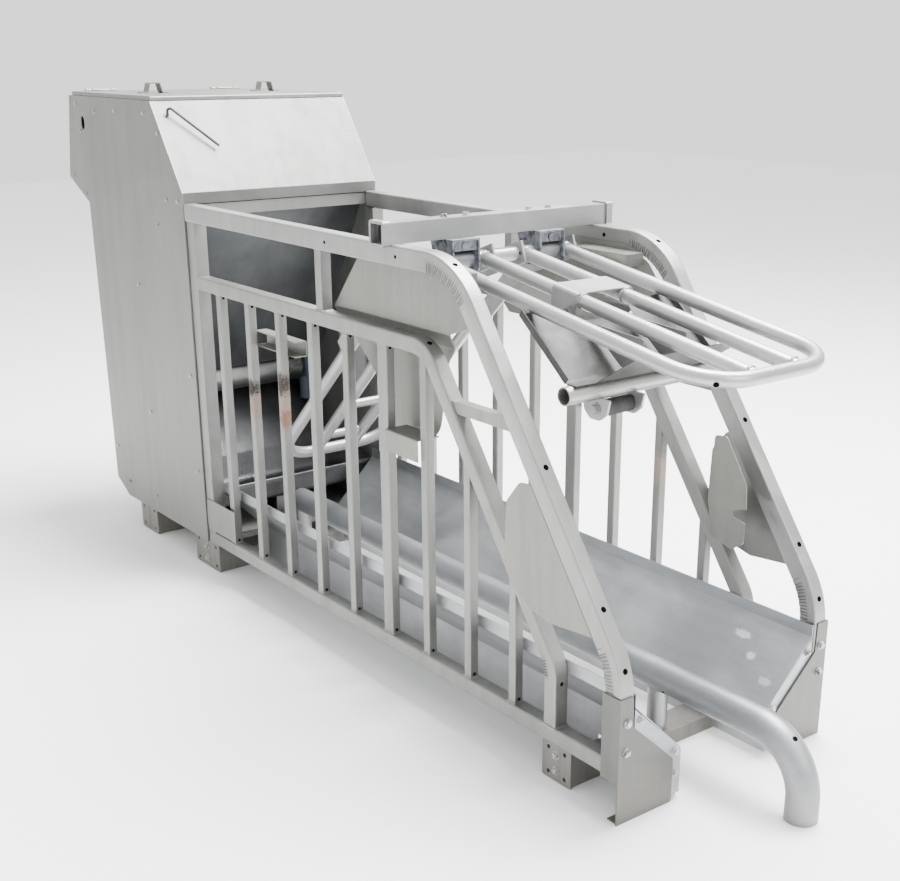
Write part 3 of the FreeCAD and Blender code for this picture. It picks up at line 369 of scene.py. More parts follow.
# The bends that SideFrame draws: the big hoop's two, and the small hoop's lower one.
HOOP_CRIMPS = (Crimp((0.5569, 0.945), 0.170, 0.036, (36, 92)),
               Crimp((1.030, 0.2938), 0.170, 0.036, (-2, 36)))
INNER_CRIMPS = (Crimp((0.923, 0.2593), 0.070, 0.020, (-2, 36), 5.0),)
RUST_PINK: Colour = (0.30, 0.215, 0.18)
RUST_DARK: Colour = (0.035, 0.03, 0.027)
SCUFF: Colour = (0.72, 0.74, 0.75)
ALONG_X: Point = (0.15, 1.0, 1.0)
ALONG_Y: Point = (1.0, 0.15, 1.0)

BAR_STAINS = (
    Stain((-0.330, -0.32, 0.625), (0.020, 0.03, 0.052), RUST_PINK, 0.75),
    Stain((-0.334, -0.32, 0.672), (0.016, 0.03, 0.030), RUST_DARK, 0.9, 0.004),
    Stain((-0.158, -0.32, 0.665), (0.018, 0.03, 0.075), RUST_PINK, 0.75),
    Stain((-0.156, -0.32, 0.612), (0.014, 0.03, 0.030), (0.28, 0.15, 0.10), 0.7),
    Stain((-0.160, -0.32, 0.715), (0.014, 0.03, 0.040), RUST_DARK, 0.85, 0.004),
    Stain((0.697, 0.31, 0.560), (0.020, 0.03, 0.045), (0.44, 0.34, 0.29), 0.5),
)

KICK_SCUFFS = (
    Stain((1.071, 0.252, 0.229), (0.026, 0.012, 0.012), SCUFF, 0.75, 0.006),
    Stain((1.127, 0.221, 0.198), (0.014, 0.012, 0.012), SCUFF, 0.7, 0.006),
    Stain((1.201, 0.189, 0.166), (0.02, 0.012, 0.012), SCUFF, 0.45, 0.006),
)

CATCH_STAINS = (
    Stain((0.946, -0.250, 0.889), (0.024, 0.004, 0.024), (0.40, 0.27, 0.22), 0.6, 0.006),
    Stain((0.946, -0.16, 0.889), (0.0196, 0.16, 0.0196), (0.05, 0.024, 0.014), 1.0, 0.001),
)

FINISHES: dict[str, Finish] = {
    "frame_tube": Finish("frame tube spray", (0.200, 0.204, 0.196), (0.252, 0.255, 0.244),
                         streak=0.22),
    "hoop_tube": Finish("hoop tube spray", (0.259, 0.263, 0.255), (0.318, 0.322, 0.311), streak=0.18,
                        crimps=HOOP_CRIMPS),
    "inner_hoop_tube": Finish("inner hoop spray", (0.215, 0.217, 0.207), (0.266, 0.269, 0.255),
                              streak=0.18, crimps=INNER_CRIMPS),
    "bar_tube": Finish("bar spray", (0.215, 0.217, 0.207), (0.266, 0.269, 0.255), streak=0.3,
                       streak_scale=(1.0, 1.0, 0.15), stains=BAR_STAINS),
    "frame_sheet": Finish("frame sheet", (0.192, 0.192, 0.178), (0.237, 0.237, 0.218), streak=0.2),
    "kick_sheet_steel": Finish("kick sheet", (0.335, 0.350, 0.366), (0.440, 0.456, 0.468), metal=0.85,
                               rough=(0.28, 0.42), streak=0.35, streak_scale=(0.12, 1.0, 1.0),
                               stains=KICK_SCUFFS),
    "cast_zinc": CastZinc("cast zinc", (0.148, 0.159, 0.185), (0.244, 0.259, 0.281), rough=(0.38, 0.6)),
    "bush_steel": Finish("bush steel", (0.222, 0.229, 0.244), (0.281, 0.289, 0.296), metal=0.9,
                         rough=(0.4, 0.5)),
    "roller_rubber": Finish("roller rubber", (0.015, 0.015, 0.016), (0.037, 0.037, 0.037), metal=0.0,
                            rough=(0.6, 0.8), streak=0.5),
    "gate_pipe": Finish("gate pipe spray", (0.370, 0.374, 0.370), (0.422, 0.425, 0.422), metal=0.8,
                        rough=(0.30, 0.40), streak=0.12, streak_scale=ALONG_X, warp=0.0),
    "gate_sheet": Finish("gate sheet", (0.311, 0.318, 0.318), (0.370, 0.377, 0.374), metal=0.75,
                         rough=(0.34, 0.46)),
    "beam_steel": Finish("beam zinc", (0.178, 0.178, 0.170), (0.229, 0.229, 0.218), rough=(0.4, 0.6),
                         streak=0.4, soil_share=0.4),
    "cover_sheet": Finish("cover sheet", (0.102, 0.106, 0.101), (0.135, 0.139, 0.132), cloud_size=0.30,
                          streak=0.15, rough=(0.34, 0.5), metal=0.6),
    "foot_sheet": Finish("foot sheet", (0.112, 0.113, 0.107), (0.150, 0.152, 0.141), streak=0.2),
    "cross_tube": Finish("cross bar spray", (0.252, 0.259, 0.255), (0.311, 0.318, 0.311), streak=0.2,
                         streak_scale=(1.0, 0.2, 1.0)),
    "floor_pipe": Finish("floor pipe spray", (0.240, 0.248, 0.258), (0.288, 0.296, 0.306), metal=0.85,
                         rough=(0.42, 0.5), streak=0.10, streak_scale=ALONG_X, warp=0.0, gloss=0.6),
    "drop_sheet": Finish("drop sheet", (0.050, 0.052, 0.050), (0.110, 0.113, 0.108), metal=0.45,
                         rough=(0.5, 0.62), cloud_size=0.10, gloss=0.25),
    "housing_sheet": Finish("housing sheet", (0.160, 0.165, 0.152), (0.206, 0.211, 0.195),
                            cloud_size=0.35, streak=0.13, rough=(0.36, 0.55), metal=0.6),
    "hopper_steel": Finish("hopper sheet", (0.085, 0.090, 0.094), (0.118, 0.124, 0.126), streak=0.2,
                           metal=0.6),
    "trough_stainless": Finish("trough stainless", (0.111, 0.115, 0.118), (0.163, 0.167, 0.170),
                               metal=0.9, rough=(0.26, 0.40), streak=0.2),
    "machined_steel": Finish("machined steel", (0.370, 0.370, 0.370), (0.429, 0.429, 0.429), metal=1.0,
                             rough=(0.25, 0.4)),
    "rotor_plastic": Finish("rotor plastic", (0.459, 0.459, 0.429), (0.518, 0.518, 0.488), metal=0.0,
                            soil_share=0.0),
    "motor_paint": Finish("motor paint", (0.074, 0.096, 0.126), (0.096, 0.118, 0.148), metal=0.0,
                          rough=(0.4, 0.55)),
    "electronics_plastic": Finish("electronics case", (0.370, 0.385, 0.385), (0.414, 0.422, 0.422),
                                  metal=0.0),
    "black_plastic": Finish("black plastic", (0.013, 0.013, 0.015), (0.022, 0.022, 0.024), metal=0.0,
                            rough=(0.42, 0.6), specks=0.0),
    "zinc_fastener": CastZinc("zinc fastener", (0.370, 0.377, 0.370), (0.474, 0.474, 0.459),
                              rough=(0.25, 0.45), cell=0.005),
    "weld": Finish("weld bead", (0.266, 0.266, 0.259), (0.340, 0.340, 0.333), metal=0.7,
                   rough=(0.35, 0.5), specks=0.4, grain=0.0005),
    # Painted shade: near-black and without gloss, for the discs that stand in for the dark inside of the
    # drilled holes.
    "hole": Finish("drain hole", (0.003, 0.003, 0.003), (0.006, 0.006, 0.006), metal=0.0,
                   rough=(0.9, 1.0), soil_share=0.0, specks=0.0, gloss=0.0),
    "catch_tube": Finish("catch tube spray", (0.340, 0.344, 0.337), (0.392, 0.396, 0.385), metal=0.8,
                         rough=(0.32, 0.42), streak=0.1, streak_scale=ALONG_Y, warp=0.0,
                         stains=CATCH_STAINS),
}


# ---------------------------------------------------------------- viewpoint and studio

@dataclass
class Viewpoint:
    """The camera.

    Attributes:
        spot: Its place.
        azimuth: Degrees round Z, 0 looking along +Y.
        elevation: Degrees above the horizontal.
        roll: Degrees round its own axis.
        lens: Focal length in millimetres on a 36 mm sensor.
        shift: Shift of the frame across and up.
    """

    spot: Point = (3.0547, -2.1164, 1.6014)
    azimuth: float = 51.44
    elevation: float = 19.80
    roll: float = 0.18
    lens: float = 53.18
    shift: tuple[float, float] = (-0.0517, 0.0956)

    def build(self) -> None:
        """Places the camera: its axes come from azimuth and elevation, then turn by the roll."""
        turn, tilt, lean = radians(self.azimuth), radians(self.elevation), radians(self.roll)
        back = np.array([sin(turn) * cos(tilt), -cos(turn) * cos(tilt), sin(tilt)])
        right = np.array([cos(turn), sin(turn), 0.0])
        up = np.cross(back, right)
        matrix = np.eye(4)
        matrix[:3, 0] = cos(lean) * right + sin(lean) * up
        matrix[:3, 1] = cos(lean) * up - sin(lean) * right
        matrix[:3, 2] = back
        matrix[:3, 3] = self.spot
        lens = bpy.data.cameras.new("viewpoint")
        lens.sensor_width, lens.sensor_fit = 36.0, "HORIZONTAL"
        lens.lens = self.lens
        lens.shift_x, lens.shift_y = self.shift
        camera = bpy.data.objects.new("viewpoint", lens)
        bpy.context.scene.collection.objects.link(camera)
        camera.matrix_world = [list(row) for row in matrix.T.tolist()]
        bpy.context.scene.camera = camera


@dataclass
class Studio:
    """Pale floor, pale surround and soft lamps.

    Attributes:
        floor_half: Half the floor's side.
        sky: Colour of the surround overhead.
        horizon: Colour of the surround at the sides.
        glow: Strength of the surround.
    """

    floor_half: float = 14.0
    sky: Colour = (1.0, 1.0, 1.0)
    horizon: Colour = (0.80, 0.80, 0.80)
    glow: float = 2.0

    def build(self) -> None:
        """Lays the floor, sets the surround and hangs the lamps."""
        self.lay_floor()
        self.set_surround()
        self.hang_lamp("high lamp", (0.2, 1.6, 5.0), (0.0, 0.0, 0.6), 3.2, 1650.0)
        self.hang_lamp("front lamp", (5.5, 0.8, 3.2), (0.2, 0.0, 0.6), 2.4, 150.0)

    def lay_floor(self) -> None:
        """A flat square with a faintly mottled pale surface."""
        h = self.floor_half
        mesh = bpy.data.meshes.new("floor")
        mesh.from_pydata([(-h, -h, 0), (h, -h, 0), (h, h, 0), (-h, h, 0)], [], [(0, 1, 2, 3)])
        graph = Graph(bpy.data.materials.new("floor paint"))
        share = graph.noise(0.8, 3.0)
        mesh.materials.append(graph.surface(
            Base_Color=graph.mix(share, (0.86, 0.86, 0.86), (0.90, 0.90, 0.90)), Roughness=0.9,
            Normal=graph.bump(graph.noise(0.01, 2.0), 0.0004, 0.4)))
        floor = bpy.data.objects.new("floor", mesh)
        bpy.context.scene.collection.objects.link(floor)

    def set_surround(self) -> None:
        """A surround that brightens from the horizon to overhead, so round tubes read as round."""
        world = bpy.data.worlds.new("surround")
        graph = Graph(world, "Generated")
        share = graph.node("ShaderNodeMapRange", Value=graph.axes["Z"], From_Min=0.05, From_Max=0.75)
        colour = graph.mix(share.outputs[0], self.horizon, self.sky)
        glow = graph.node("ShaderNodeBackground", Color=colour, Strength=self.glow)
        graph.node("ShaderNodeOutputWorld", Surface=glow.outputs[0])
        bpy.context.scene.world = world

    @staticmethod
    def hang_lamp(name: str, spot: Point, aim: Point, size: float, power: float) -> None:
        """Adds a square soft lamp at spot that faces aim.

        Args:
            name: The lamp's name.
            spot: Its place.
            aim: The point it faces.
            size: Its side.
            power: Its power in watts.
        """
        lamp = bpy.data.lights.new(name, "AREA")
        lamp.size, lamp.energy = size, power
        item = bpy.data.objects.new(name, lamp)
        bpy.context.scene.collection.objects.link(item)
        item.location = spot
        item.rotation_euler = (item.location - Vector(aim)).to_track_quat("Z", "Y").to_euler()


# ---------------------------------------------------------------- surfaces

Skin = tuple[np.ndarray, list[list[int]]]


def loft(rings: np.ndarray, closed: bool = False) -> Skin:
    """Skins a stack of rings: quads join point j of ring i to point j of ring i + 1.

    Args:
        rings: Points, shaped (rings, points round a ring, 3).
        closed: Whether the last ring joins the first; otherwise flat caps close the ends.

    Returns:
        Vertices and faces, with faces outwards.
    """
    count, around = rings.shape[:2]
    row = np.arange(count if closed else count - 1)[:, None]
    column = np.arange(around)[None, :]
    ahead, aside = (row + 1) % count, (column + 1) % around
    quads = np.stack([row * around + column, row * around + aside, ahead * around + aside,
                      ahead * around + column], axis=-1).reshape(-1, 4)
    points = rings.reshape(-1, 3)
    middle = points.mean(0)
    first, second, third = (points[quads[:, i]] - middle for i in (0, 1, 2))
    faces = quads.tolist()
    if not closed:
        faces += [list(range(around))[::-1], list(range((count - 1) * around, count * around))]
    if np.einsum("ij,ij->i", first, np.cross(second, third)).sum() < 0:
        faces = [face[::-1] for face in faces]
    return points, faces


def rounded_section(depth: float, width: float, radius: float, flats: int = 2, arc: int = 4) -> np.ndarray:
    """A rectangle with round corners: a quarter circle at each corner, points spread along each flat.

    Args:
        depth: Size along the section's first axis, which runs from 0.
        width: Size along its second axis, centred on 0.
        radius: Corner radius.
        flats: Points along each flat between its corners.
        arc: Steps in each quarter circle.

    Returns:
        Points round the section, shaped (n, 2).
    """
    points, beside = [], 0.02  # Points close beside a corner keep the flat's shading flat.
    corners = ((depth - radius, width / 2 - radius, 0), (radius, width / 2 - radius, 90),
               (radius, radius - width / 2, 180), (depth - radius, radius - width / 2, 270))
    for index, (x, y, start) in enumerate(corners):
        angle = np.radians(start + np.linspace(0, 90, arc + 1))
        curve = np.column_stack([x + radius * np.cos(angle), y + radius * np.sin(angle)])
        after = corners[(index + 1) % 4]
        turn = np.radians(after[2])
        goal = np.array([after[0] + radius * np.cos(turn), after[1] + radius * np.sin(turn)])
        share = np.concatenate([[beside], np.linspace(0, 1, flats + 2)[1:-1], [1 - beside]])[:, None]
        points += [curve, curve[-1] + (goal - curve[-1]) * share]
    return np.concatenate(points)


def bent_line(corners: Sequence[tuple[float, float]], radii: Sequence[float],
              step: float) -> tuple[np.ndarray, np.ndarray, np.ndarray]:
    """A line through corners in X and Z whose corners are arcs, with the normal on its right.

    Args:
        corners: Corner points.
        radii: Bend radius at each, 0 at the ends.
        step: Degrees between points on an arc.

    Returns:
        Points, unit normals towards the inside of the bends, and the arc angle in radians (0 on runs).
    """
    points, normals, turns = [], [], []
    nodes = [np.array(c, float) for c in corners]
    for i, here in enumerate(nodes):
        if radii[i] == 0:
            run = nodes[i + 1] - here if i == 0 else here - nodes[i - 1]
            run /= np.linalg.norm(run)
            points.append(here[None])
            normals.append(np.array([[run[1], -run[0]]]))
            turns.append([0.0])
            continue
        back = (nodes[i - 1] - here) / np.linalg.norm(nodes[i - 1] - here)
        ahead = (nodes[i + 1] - here) / np.linalg.norm(nodes[i + 1] - here)
        half = np.arccos(np.clip(back @ ahead, -1, 1)) / 2
        middle = here + (back + ahead) / np.linalg.norm(back + ahead) * radii[i] / np.sin(half)
        start = here + back * radii[i] / np.tan(half) - middle
        end = here + ahead * radii[i] / np.tan(half) - middle
        first, last = np.arctan2(start[1], start[0]), np.arctan2(end[1], end[0])
        angle = np.linspace(first, last, max(3, int(abs(np.degrees(last - first)) / step)))
        spoke = np.column_stack([np.cos(angle), np.sin(angle)])
        points.append(middle + radii[i] * spoke)
        normals.append(-spoke)
        turns.append(angle)
    return np.concatenate(points), np.concatenate(normals), np.concatenate(turns)


def bead(path: np.ndarray, out: np.ndarray, up: np.ndarray, size: float) -> Skin:
    """A closed weld bead: a circle carried round a path, swelling and shrinking like a row of drops.

    Args:
        path: Points of the joint, shaped (n, 3).
        out: Directions away from the joined part, one per point.
        up: Directions along it.
        size: Mean radius.

    Returns:
        Vertices and faces.
    """
    around = np.radians(np.arange(0, 360, 60))
    along = np.concatenate([[0], np.cumsum(np.linalg.norm(np.diff(path, axis=0), axis=1))])
    radius = size * (1 + 0.22 * np.sin(along / 0.0011) + 0.12 * np.sin(along / 0.0047 + path[:, 0] * 90))
    rings = (path[:, None] + radius[:, None, None] * (np.cos(around)[None, :, None] * out[:, None]
                                                      + np.sin(around)[None, :, None] * up[:, None]))
    return loft(rings, closed=True)


def spokes(axis: np.ndarray, step: float) -> tuple[np.ndarray, np.ndarray]:
    """The unit axis, and unit spokes square to it every step degrees."""
    angle = np.radians(np.arange(0, 360, step))
    axis = np.asarray(axis, float) / np.linalg.norm(axis)
    side = np.cross(axis, (0.0, 1.0, 0.0) if abs(axis[1]) < 0.9 else (1.0, 0.0, 0.0))
    side /= np.linalg.norm(side)
    return axis, np.cos(angle)[:, None] * side + np.sin(angle)[:, None] * np.cross(axis, side)


def round_bead(centre: Point, axis: np.ndarray, radius: float, size: float) -> Skin:
    """A weld bead round a tube: a circle of a radius about centre, square to axis."""
    axis, spoke = spokes(axis, 7.5)
    return bead(np.asarray(centre) + radius * spoke, spoke, np.tile(axis, (len(spoke), 1)), size)


def disc(centre: Point, normal: np.ndarray, radius: float) -> Skin:
    """A drilled hole's mouth as a disc in painted shade, which stands in for the dark inside of the hole:
    rings that rise to a thin lip and dip to a flat middle.
    """
    normal, spoke = spokes(normal, 20)
    steps = ((1.0, -0.0008), (1.0, 0.0003), (0.86, 0.0005), (0.78, 0.0002), (0.3, 0.0002))
    return loft(np.stack([np.asarray(centre) + spoke * radius * r + normal * h for r, h in steps]))


# ---------------------------------------------------------------- dressing of the frame's nodes

NODE_FINISH: dict[str, str] = {
    "outer_hoop_left": "hoop_tube", "outer_hoop_right": "hoop_tube",
    "inner_hoop_left": "inner_hoop_tube", "inner_hoop_right": "inner_hoop_tube",
    "catch_tube": "catch_tube", "drop_panel": "drop_sheet", "cross_bar": "cross_tube",
    "anti_lie_pipe": "floor_pipe", "slant_cover": "cover_sheet",
    "foot_plate_left": "foot_sheet", "foot_plate_right": "foot_sheet",
}


class Dresser:
    """Gives each node of the frame its finish, and adds the pieces laid over them."""

    def __init__(self) -> None:
        """Reads the slots from the record and starts an empty store of materials."""
        self.slots = {entry["node"]: entry["material_slot"] for entry in frame["record"]["subparts"]}
        self.store: dict[str, bpy.types.Material] = {}

    def finish(self, name: str) -> bpy.types.Material:
        """The material of a finish, built once."""
        if name not in self.store:
            self.store[name] = FINISHES[name].material()
        return self.store[name]

    def dress(self) -> None:
        """Puts a finish on every node."""
        for name, node in frame["nodes"].items():
            finish = NODE_FINISH.get(name, self.slots.get(name, "frame_tube"))
            node.data.materials.clear()
            node.data.materials.append(self.finish(finish))
            LOG.info("dressed %s with %s", name, finish)

    def piece(self, name: str, skins: Sequence[Skin], finish: str,
              replaces: str | None = None, body: str = "frame") -> None:
        """Joins skins into one smooth-shaded object that rides on a body.

        Args:
            name: The piece's name.
            skins: Its closed surfaces.
            finish: The name of its finish.
            replaces: The node it stands for, if any.
            body: The body it rides on.
        """
        offsets = np.cumsum([0] + [len(points) for points, _ in skins])
        points = np.concatenate([points for points, _ in skins])
        faces = [[index + offset for index in face]
                 for (_, group), offset in zip(skins, offsets) for face in group]
        mesh = bpy.data.meshes.new(name)
        mesh.from_pydata(points.tolist(), [], faces)
        mesh.shade_smooth()
        mesh.set_sharp_from_angle(angle=SHARP_ANGLE)
        mesh.materials.append(self.finish(finish))
        item = bpy.data.objects.new(name, mesh)
        bpy.context.scene.collection.objects.link(item)
        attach(item, body)
        if replaces:
            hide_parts(replaces)
        LOG.info("built %s: %d faces", name, len(faces))


# ---------------------------------------------------------------- side frames

@dataclass
class SideFrame:
    """The tubes of one side frame: two bent hoops, the bottom rail and the bars, with their welds.

    Attributes:
        side: Which side.
        half: Half the race's width outside the big hoop.
        slope: Slope of both hoops in degrees.
        rear: Rear end of the top rail.
        front: Front face of the big hoop.
        top: Top of the top rail.
        corner: Where its outer line turns down.
        bend: Outer bend radius of the big hoop.
        inner_rear: Rear end of the middle rail.
        inner_front: Front face of the small hoop.
        inner_top: Top of the middle rail.
        inner_corner: Where its outer line turns down.
        inner_bend: Outer bend radius of the small hoop.
        rail_top: Top of the bottom rail.
        deep: Depth of the big hoop across its bends.
        tube: Width of every tube but the bars, and depth of the small hoop and the bottom rail.
        bars: How many bars.
        first_bar: Middle of the rearmost bar.
        pitch: Distance between bars.
        bar: Side of a bar.
        wide: Index and width of the one wider bar.
        short_post: Middle of the post between the rails and its side.
        edge: Corner radius of the tubes.
        slope_holes: Heights of the drain holes on the big hoop's slope.
        bend_holes: Angles of the holes on the big hoop's upper and lower bend and on the small hoop's
            upper one, in degrees from +X.
        hoop_hole: Radius of the holes in the hoops.
        bar_hole: Radius of the holes in the bars.
    """

    side: Side
    half: float = 0.340
    slope: float = 54.0
    rear: float = -0.660
    front: float = 1.250
    top: float = 1.165
    corner: float = 0.669
    bend: float = 0.220
    inner_rear: float = -0.615
    inner_front: float = 1.033
    inner_top: float = 0.957
    inner_corner: float = 0.552
    inner_bend: float = 0.110
    rail_top: float = 0.142
    deep: float = 0.050
    tube: float = 0.040
    bars: int = 9
    first_bar: float = -0.507
    pitch: float = 0.172
    bar: float = 0.025
    wide: tuple[int, float] = (5, 0.040)
    short_post: tuple[float, float] = (0.072, 0.030)
    edge: float = 0.0045
    slope_holes: tuple[float, float] = (0.480, 0.748)
    bend_holes: tuple[float, float, float] = (65, 18, 66)
    hoop_hole: float = 0.0068
    bar_hole: float = 0.0042

    def build(self, dresser: Dresser) -> None:
        """Builds the tubes, welds and drain holes of this side with dresser's finishes; the holes are discs
        of painted shade.
        """
        label, sign = self.side.label, self.side.value
        outer_y = sign * (self.half - 0.020)
        inner_y = sign * (self.half - 0.025)
        fall = tan(radians(self.slope))
        big = [(self.rear, self.top), (self.corner, self.top),
               (self.front, self.top - (self.front - self.corner) * fall),
               (self.front, self.rail_top - self.tube)]
        small = [(self.inner_rear, self.inner_top), (self.inner_corner, self.inner_top),
                 (self.inner_front, self.inner_top - (self.inner_front - self.inner_corner) * fall),
                 (self.inner_front, self.rail_top)]
        dresser.piece(f"hoop_tube_big_{label}", [self.hoop(big, self.bend, self.deep, outer_y, 0.0020)],
                      "hoop_tube", f"outer_hoop_{label}")
        dresser.piece(f"hoop_tube_small_{label}",
                      [self.hoop(small, self.inner_bend, self.tube, inner_y, 0.0012)],
                      "inner_hoop_tube", f"inner_hoop_{label}")
        dresser.piece(f"rail_tube_{label}", [self.rail(inner_y)], "frame_tube",
                      f"bottom_rail_{label}")
        dresser.piece(f"bar_tubes_{label}", [self.upright(i, inner_y) for i in range(self.bars)],
                      "bar_tube", f"side_bars_{label}")
        welds = [weld for i in range(self.bars) for weld in self.bar_welds(i, inner_y)]
        welds.append(self.square_weld(self.inner_front - self.tube / 2, inner_y, self.tube, self.tube,
                                      self.rail_top))
        post_x, post = self.short_post
        welds += [self.square_weld(post_x, inner_y, post, post, level)
                  for level in (self.inner_top, self.top - self.deep)]
        dresser.piece(f"bar_welds_{label}", welds, "weld")
        # The drain holes are black discs: painted shade for the inside of the holes.
        dresser.piece(f"drain_hole_shade_{label}", self.drains(outer_y, inner_y), "hole")

    def hoop(self, corners: Sequence[tuple[float, float]], bend: float, depth: float, y: float,
             crimp: float) -> Skin:
        """A bent tube: a rounded rectangle carried along the outer line.

        In the bends the half of each side face nearest the inside swells in and out as a sine of the
        bend angle, strongest at the inner edge.

        Args:
            corners: Its outer corner line.
            bend: Outer bend radius.
            depth: Its size across the bend.
            y: Its middle.
            crimp: Height of the wrinkles.

        Returns:
            Vertices and faces.
        """
        line, inward, turn = bent_line(corners, [0, bend, bend, 0], 0.6)
        section = rounded_section(depth, self.tube, self.edge, flats=7)
        u, v = section[:, 0], section[:, 1]
        near = np.clip((u / depth - 0.34) / 0.36, 0, 1) * (np.abs(v) > 0.0155)
        wave = np.sin(turn * 150) * 0.5 - 0.35 * np.sin(turn * 61 + 0.6)
        bent = (turn != 0).astype(float)
        bent *= np.convolve(np.pad(bent, 6, mode="edge"), np.ones(13) / 13, mode="valid")
        swell = crimp * wave[:, None] * near[None] * bent[:, None]
        flat = line[:, None] + inward[:, None] * u[None, :, None]
        across = y + (v + np.sign(v) * swell)
        return loft(np.stack([flat[..., 0], across, flat[..., 1]], axis=-1))

    def rail(self, y: float) -> Skin:
        """The bottom rail: a rounded rectangle carried straight along X."""
        section = rounded_section(self.tube, self.tube, self.edge)
        ends = np.array([self.rear, self.front - self.deep])
        rings = np.empty((2, len(section), 3))
        rings[..., 0] = ends[:, None]
        rings[..., 1] = y + section[:, 1]
        rings[..., 2] = self.rail_top - self.tube + section[:, 0]
        return loft(rings)

    def underside(self, x: np.ndarray) -> np.ndarray:
        """Height of the small hoop's underside at x: level, then the bend's circle, then the slope."""
        angle = radians(self.slope)
        start = self.inner_corner - self.inner_bend * tan(angle / 2)
        radius = self.inner_bend - self.tube
        end = start + radius * sin(angle)
        bend = self.inner_top - self.inner_bend + np.sqrt(np.maximum(radius**2 - (x - start) ** 2, 0))
        slope = self.inner_top - (x - self.inner_corner) * tan(angle) - self.tube / cos(angle)
        return np.where(x <= start, self.inner_top - self.tube, np.where(x <= end, bend, slope))

    def bar_size(self, index: int) -> tuple[float, float]:
        """The middle of a bar along X and its width."""
        return self.first_bar + index * self.pitch, self.wide[1] if index == self.wide[0] else self.bar

    def upright(self, index: int, y: float) -> Skin:
        """A bar: a rounded rectangle from the rail to the underside of the hoop above each point."""
        x, width = self.bar_size(index)
        section = rounded_section(width, self.bar, 0.0030)
        along = x - width / 2 + section[:, 0]
        rings = np.empty((2, len(section), 3))
        rings[..., 0], rings[..., 1] = along, y + section[:, 1]
        rings[0, :, 2], rings[1, :, 2] = self.rail_top, self.underside(along)
        return loft(rings)

    @staticmethod
    def square_weld(x: float, y: float, width: float, depth: float,
                    height: float | Callable[[np.ndarray], np.ndarray]) -> Skin:
        """A bead round a rectangular tube where it meets another, at a height or one found from X."""
        section = rounded_section(width + 0.002, depth + 0.002, 0.003, flats=9)
        along = x - width / 2 - 0.001 + section[:, 0]
        level = height(along) if callable(height) else np.full(len(along), float(height))
        path = np.column_stack([along, y + section[:, 1], level])
        out = np.column_stack([along - x, section[:, 1], np.zeros(len(along))])
        out /= np.linalg.norm(out, axis=1, keepdims=True)
        return bead(path, out, np.tile(UP, (len(along), 1)), 0.0024)

    def bar_welds(self, index: int, y: float) -> list[Skin]:
        """The beads at a bar's foot and head."""
        x, width = self.bar_size(index)
        return [self.square_weld(x, y, width, self.bar, self.rail_top),
                self.square_weld(x, y, width, self.bar, self.underside)]

    def drains(self, outer_y: float, inner_y: float) -> list[Skin]:
        """Drain holes, drawn as discs of painted shade, on the hoops' front faces, at the bars' feet and
        heads and along the top rail.
        """
        angle = radians(self.slope)
        fall = tan(angle)
        face = np.array([sin(angle), 0.0, cos(angle)])
        holes = [disc((self.corner + (self.top - z) / fall, outer_y, z), face, self.hoop_hole)
                 for z in self.slope_holes]
        high = (self.corner - self.bend * tan(angle / 2), self.top - self.bend)
        holes.append(self.bend_drain(outer_y, high, self.bend_holes[0], self.bend))
        drop = self.top - (self.front - self.corner) * fall
        low = (self.front - self.bend, drop - self.bend * tan(radians(90) / 2 - angle / 2))
        holes.append(self.bend_drain(outer_y, low, self.bend_holes[1], self.bend))
        holes.append(disc((self.inner_front, inner_y, 0.250), FRONT, 0.005))
        small = (self.inner_corner - self.inner_bend * tan(angle / 2), self.inner_top - self.inner_bend)
        holes.append(self.bend_drain(inner_y, small, self.bend_holes[2], self.inner_bend))
        for index in range(self.bars):
            x, width = self.bar_size(index)
            front = x + width / 2
            top = float(self.underside(np.array([front]))[0])
            for z in (self.rail_top + 0.009, top - 0.009):
                holes.append(disc((front, inner_y, z), FRONT, self.bar_hole))
        near = np.array([0.0, -1.0, 0.0])
        if self.side is Side.LEFT:
            holes += [disc((x, -self.half, self.top - 0.026), near, 0.0045) for x in (0.125, 0.441)]
        else:
            holes.append(disc((0.470, self.half - 0.040, self.top - 0.022), near, 0.0055))
        return holes

    def bend_drain(self, y: float, centre: tuple[float, float], angle: float, radius: float) -> Skin:
        """A hole on the outer face of a bend, at an angle in degrees from +X round its centre."""
        spoke = np.array([cos(radians(angle)), 0.0, sin(radians(angle))])
        return disc(tuple(np.array([centre[0], y, centre[1]]) + radius * spoke), spoke, self.hoop_hole)


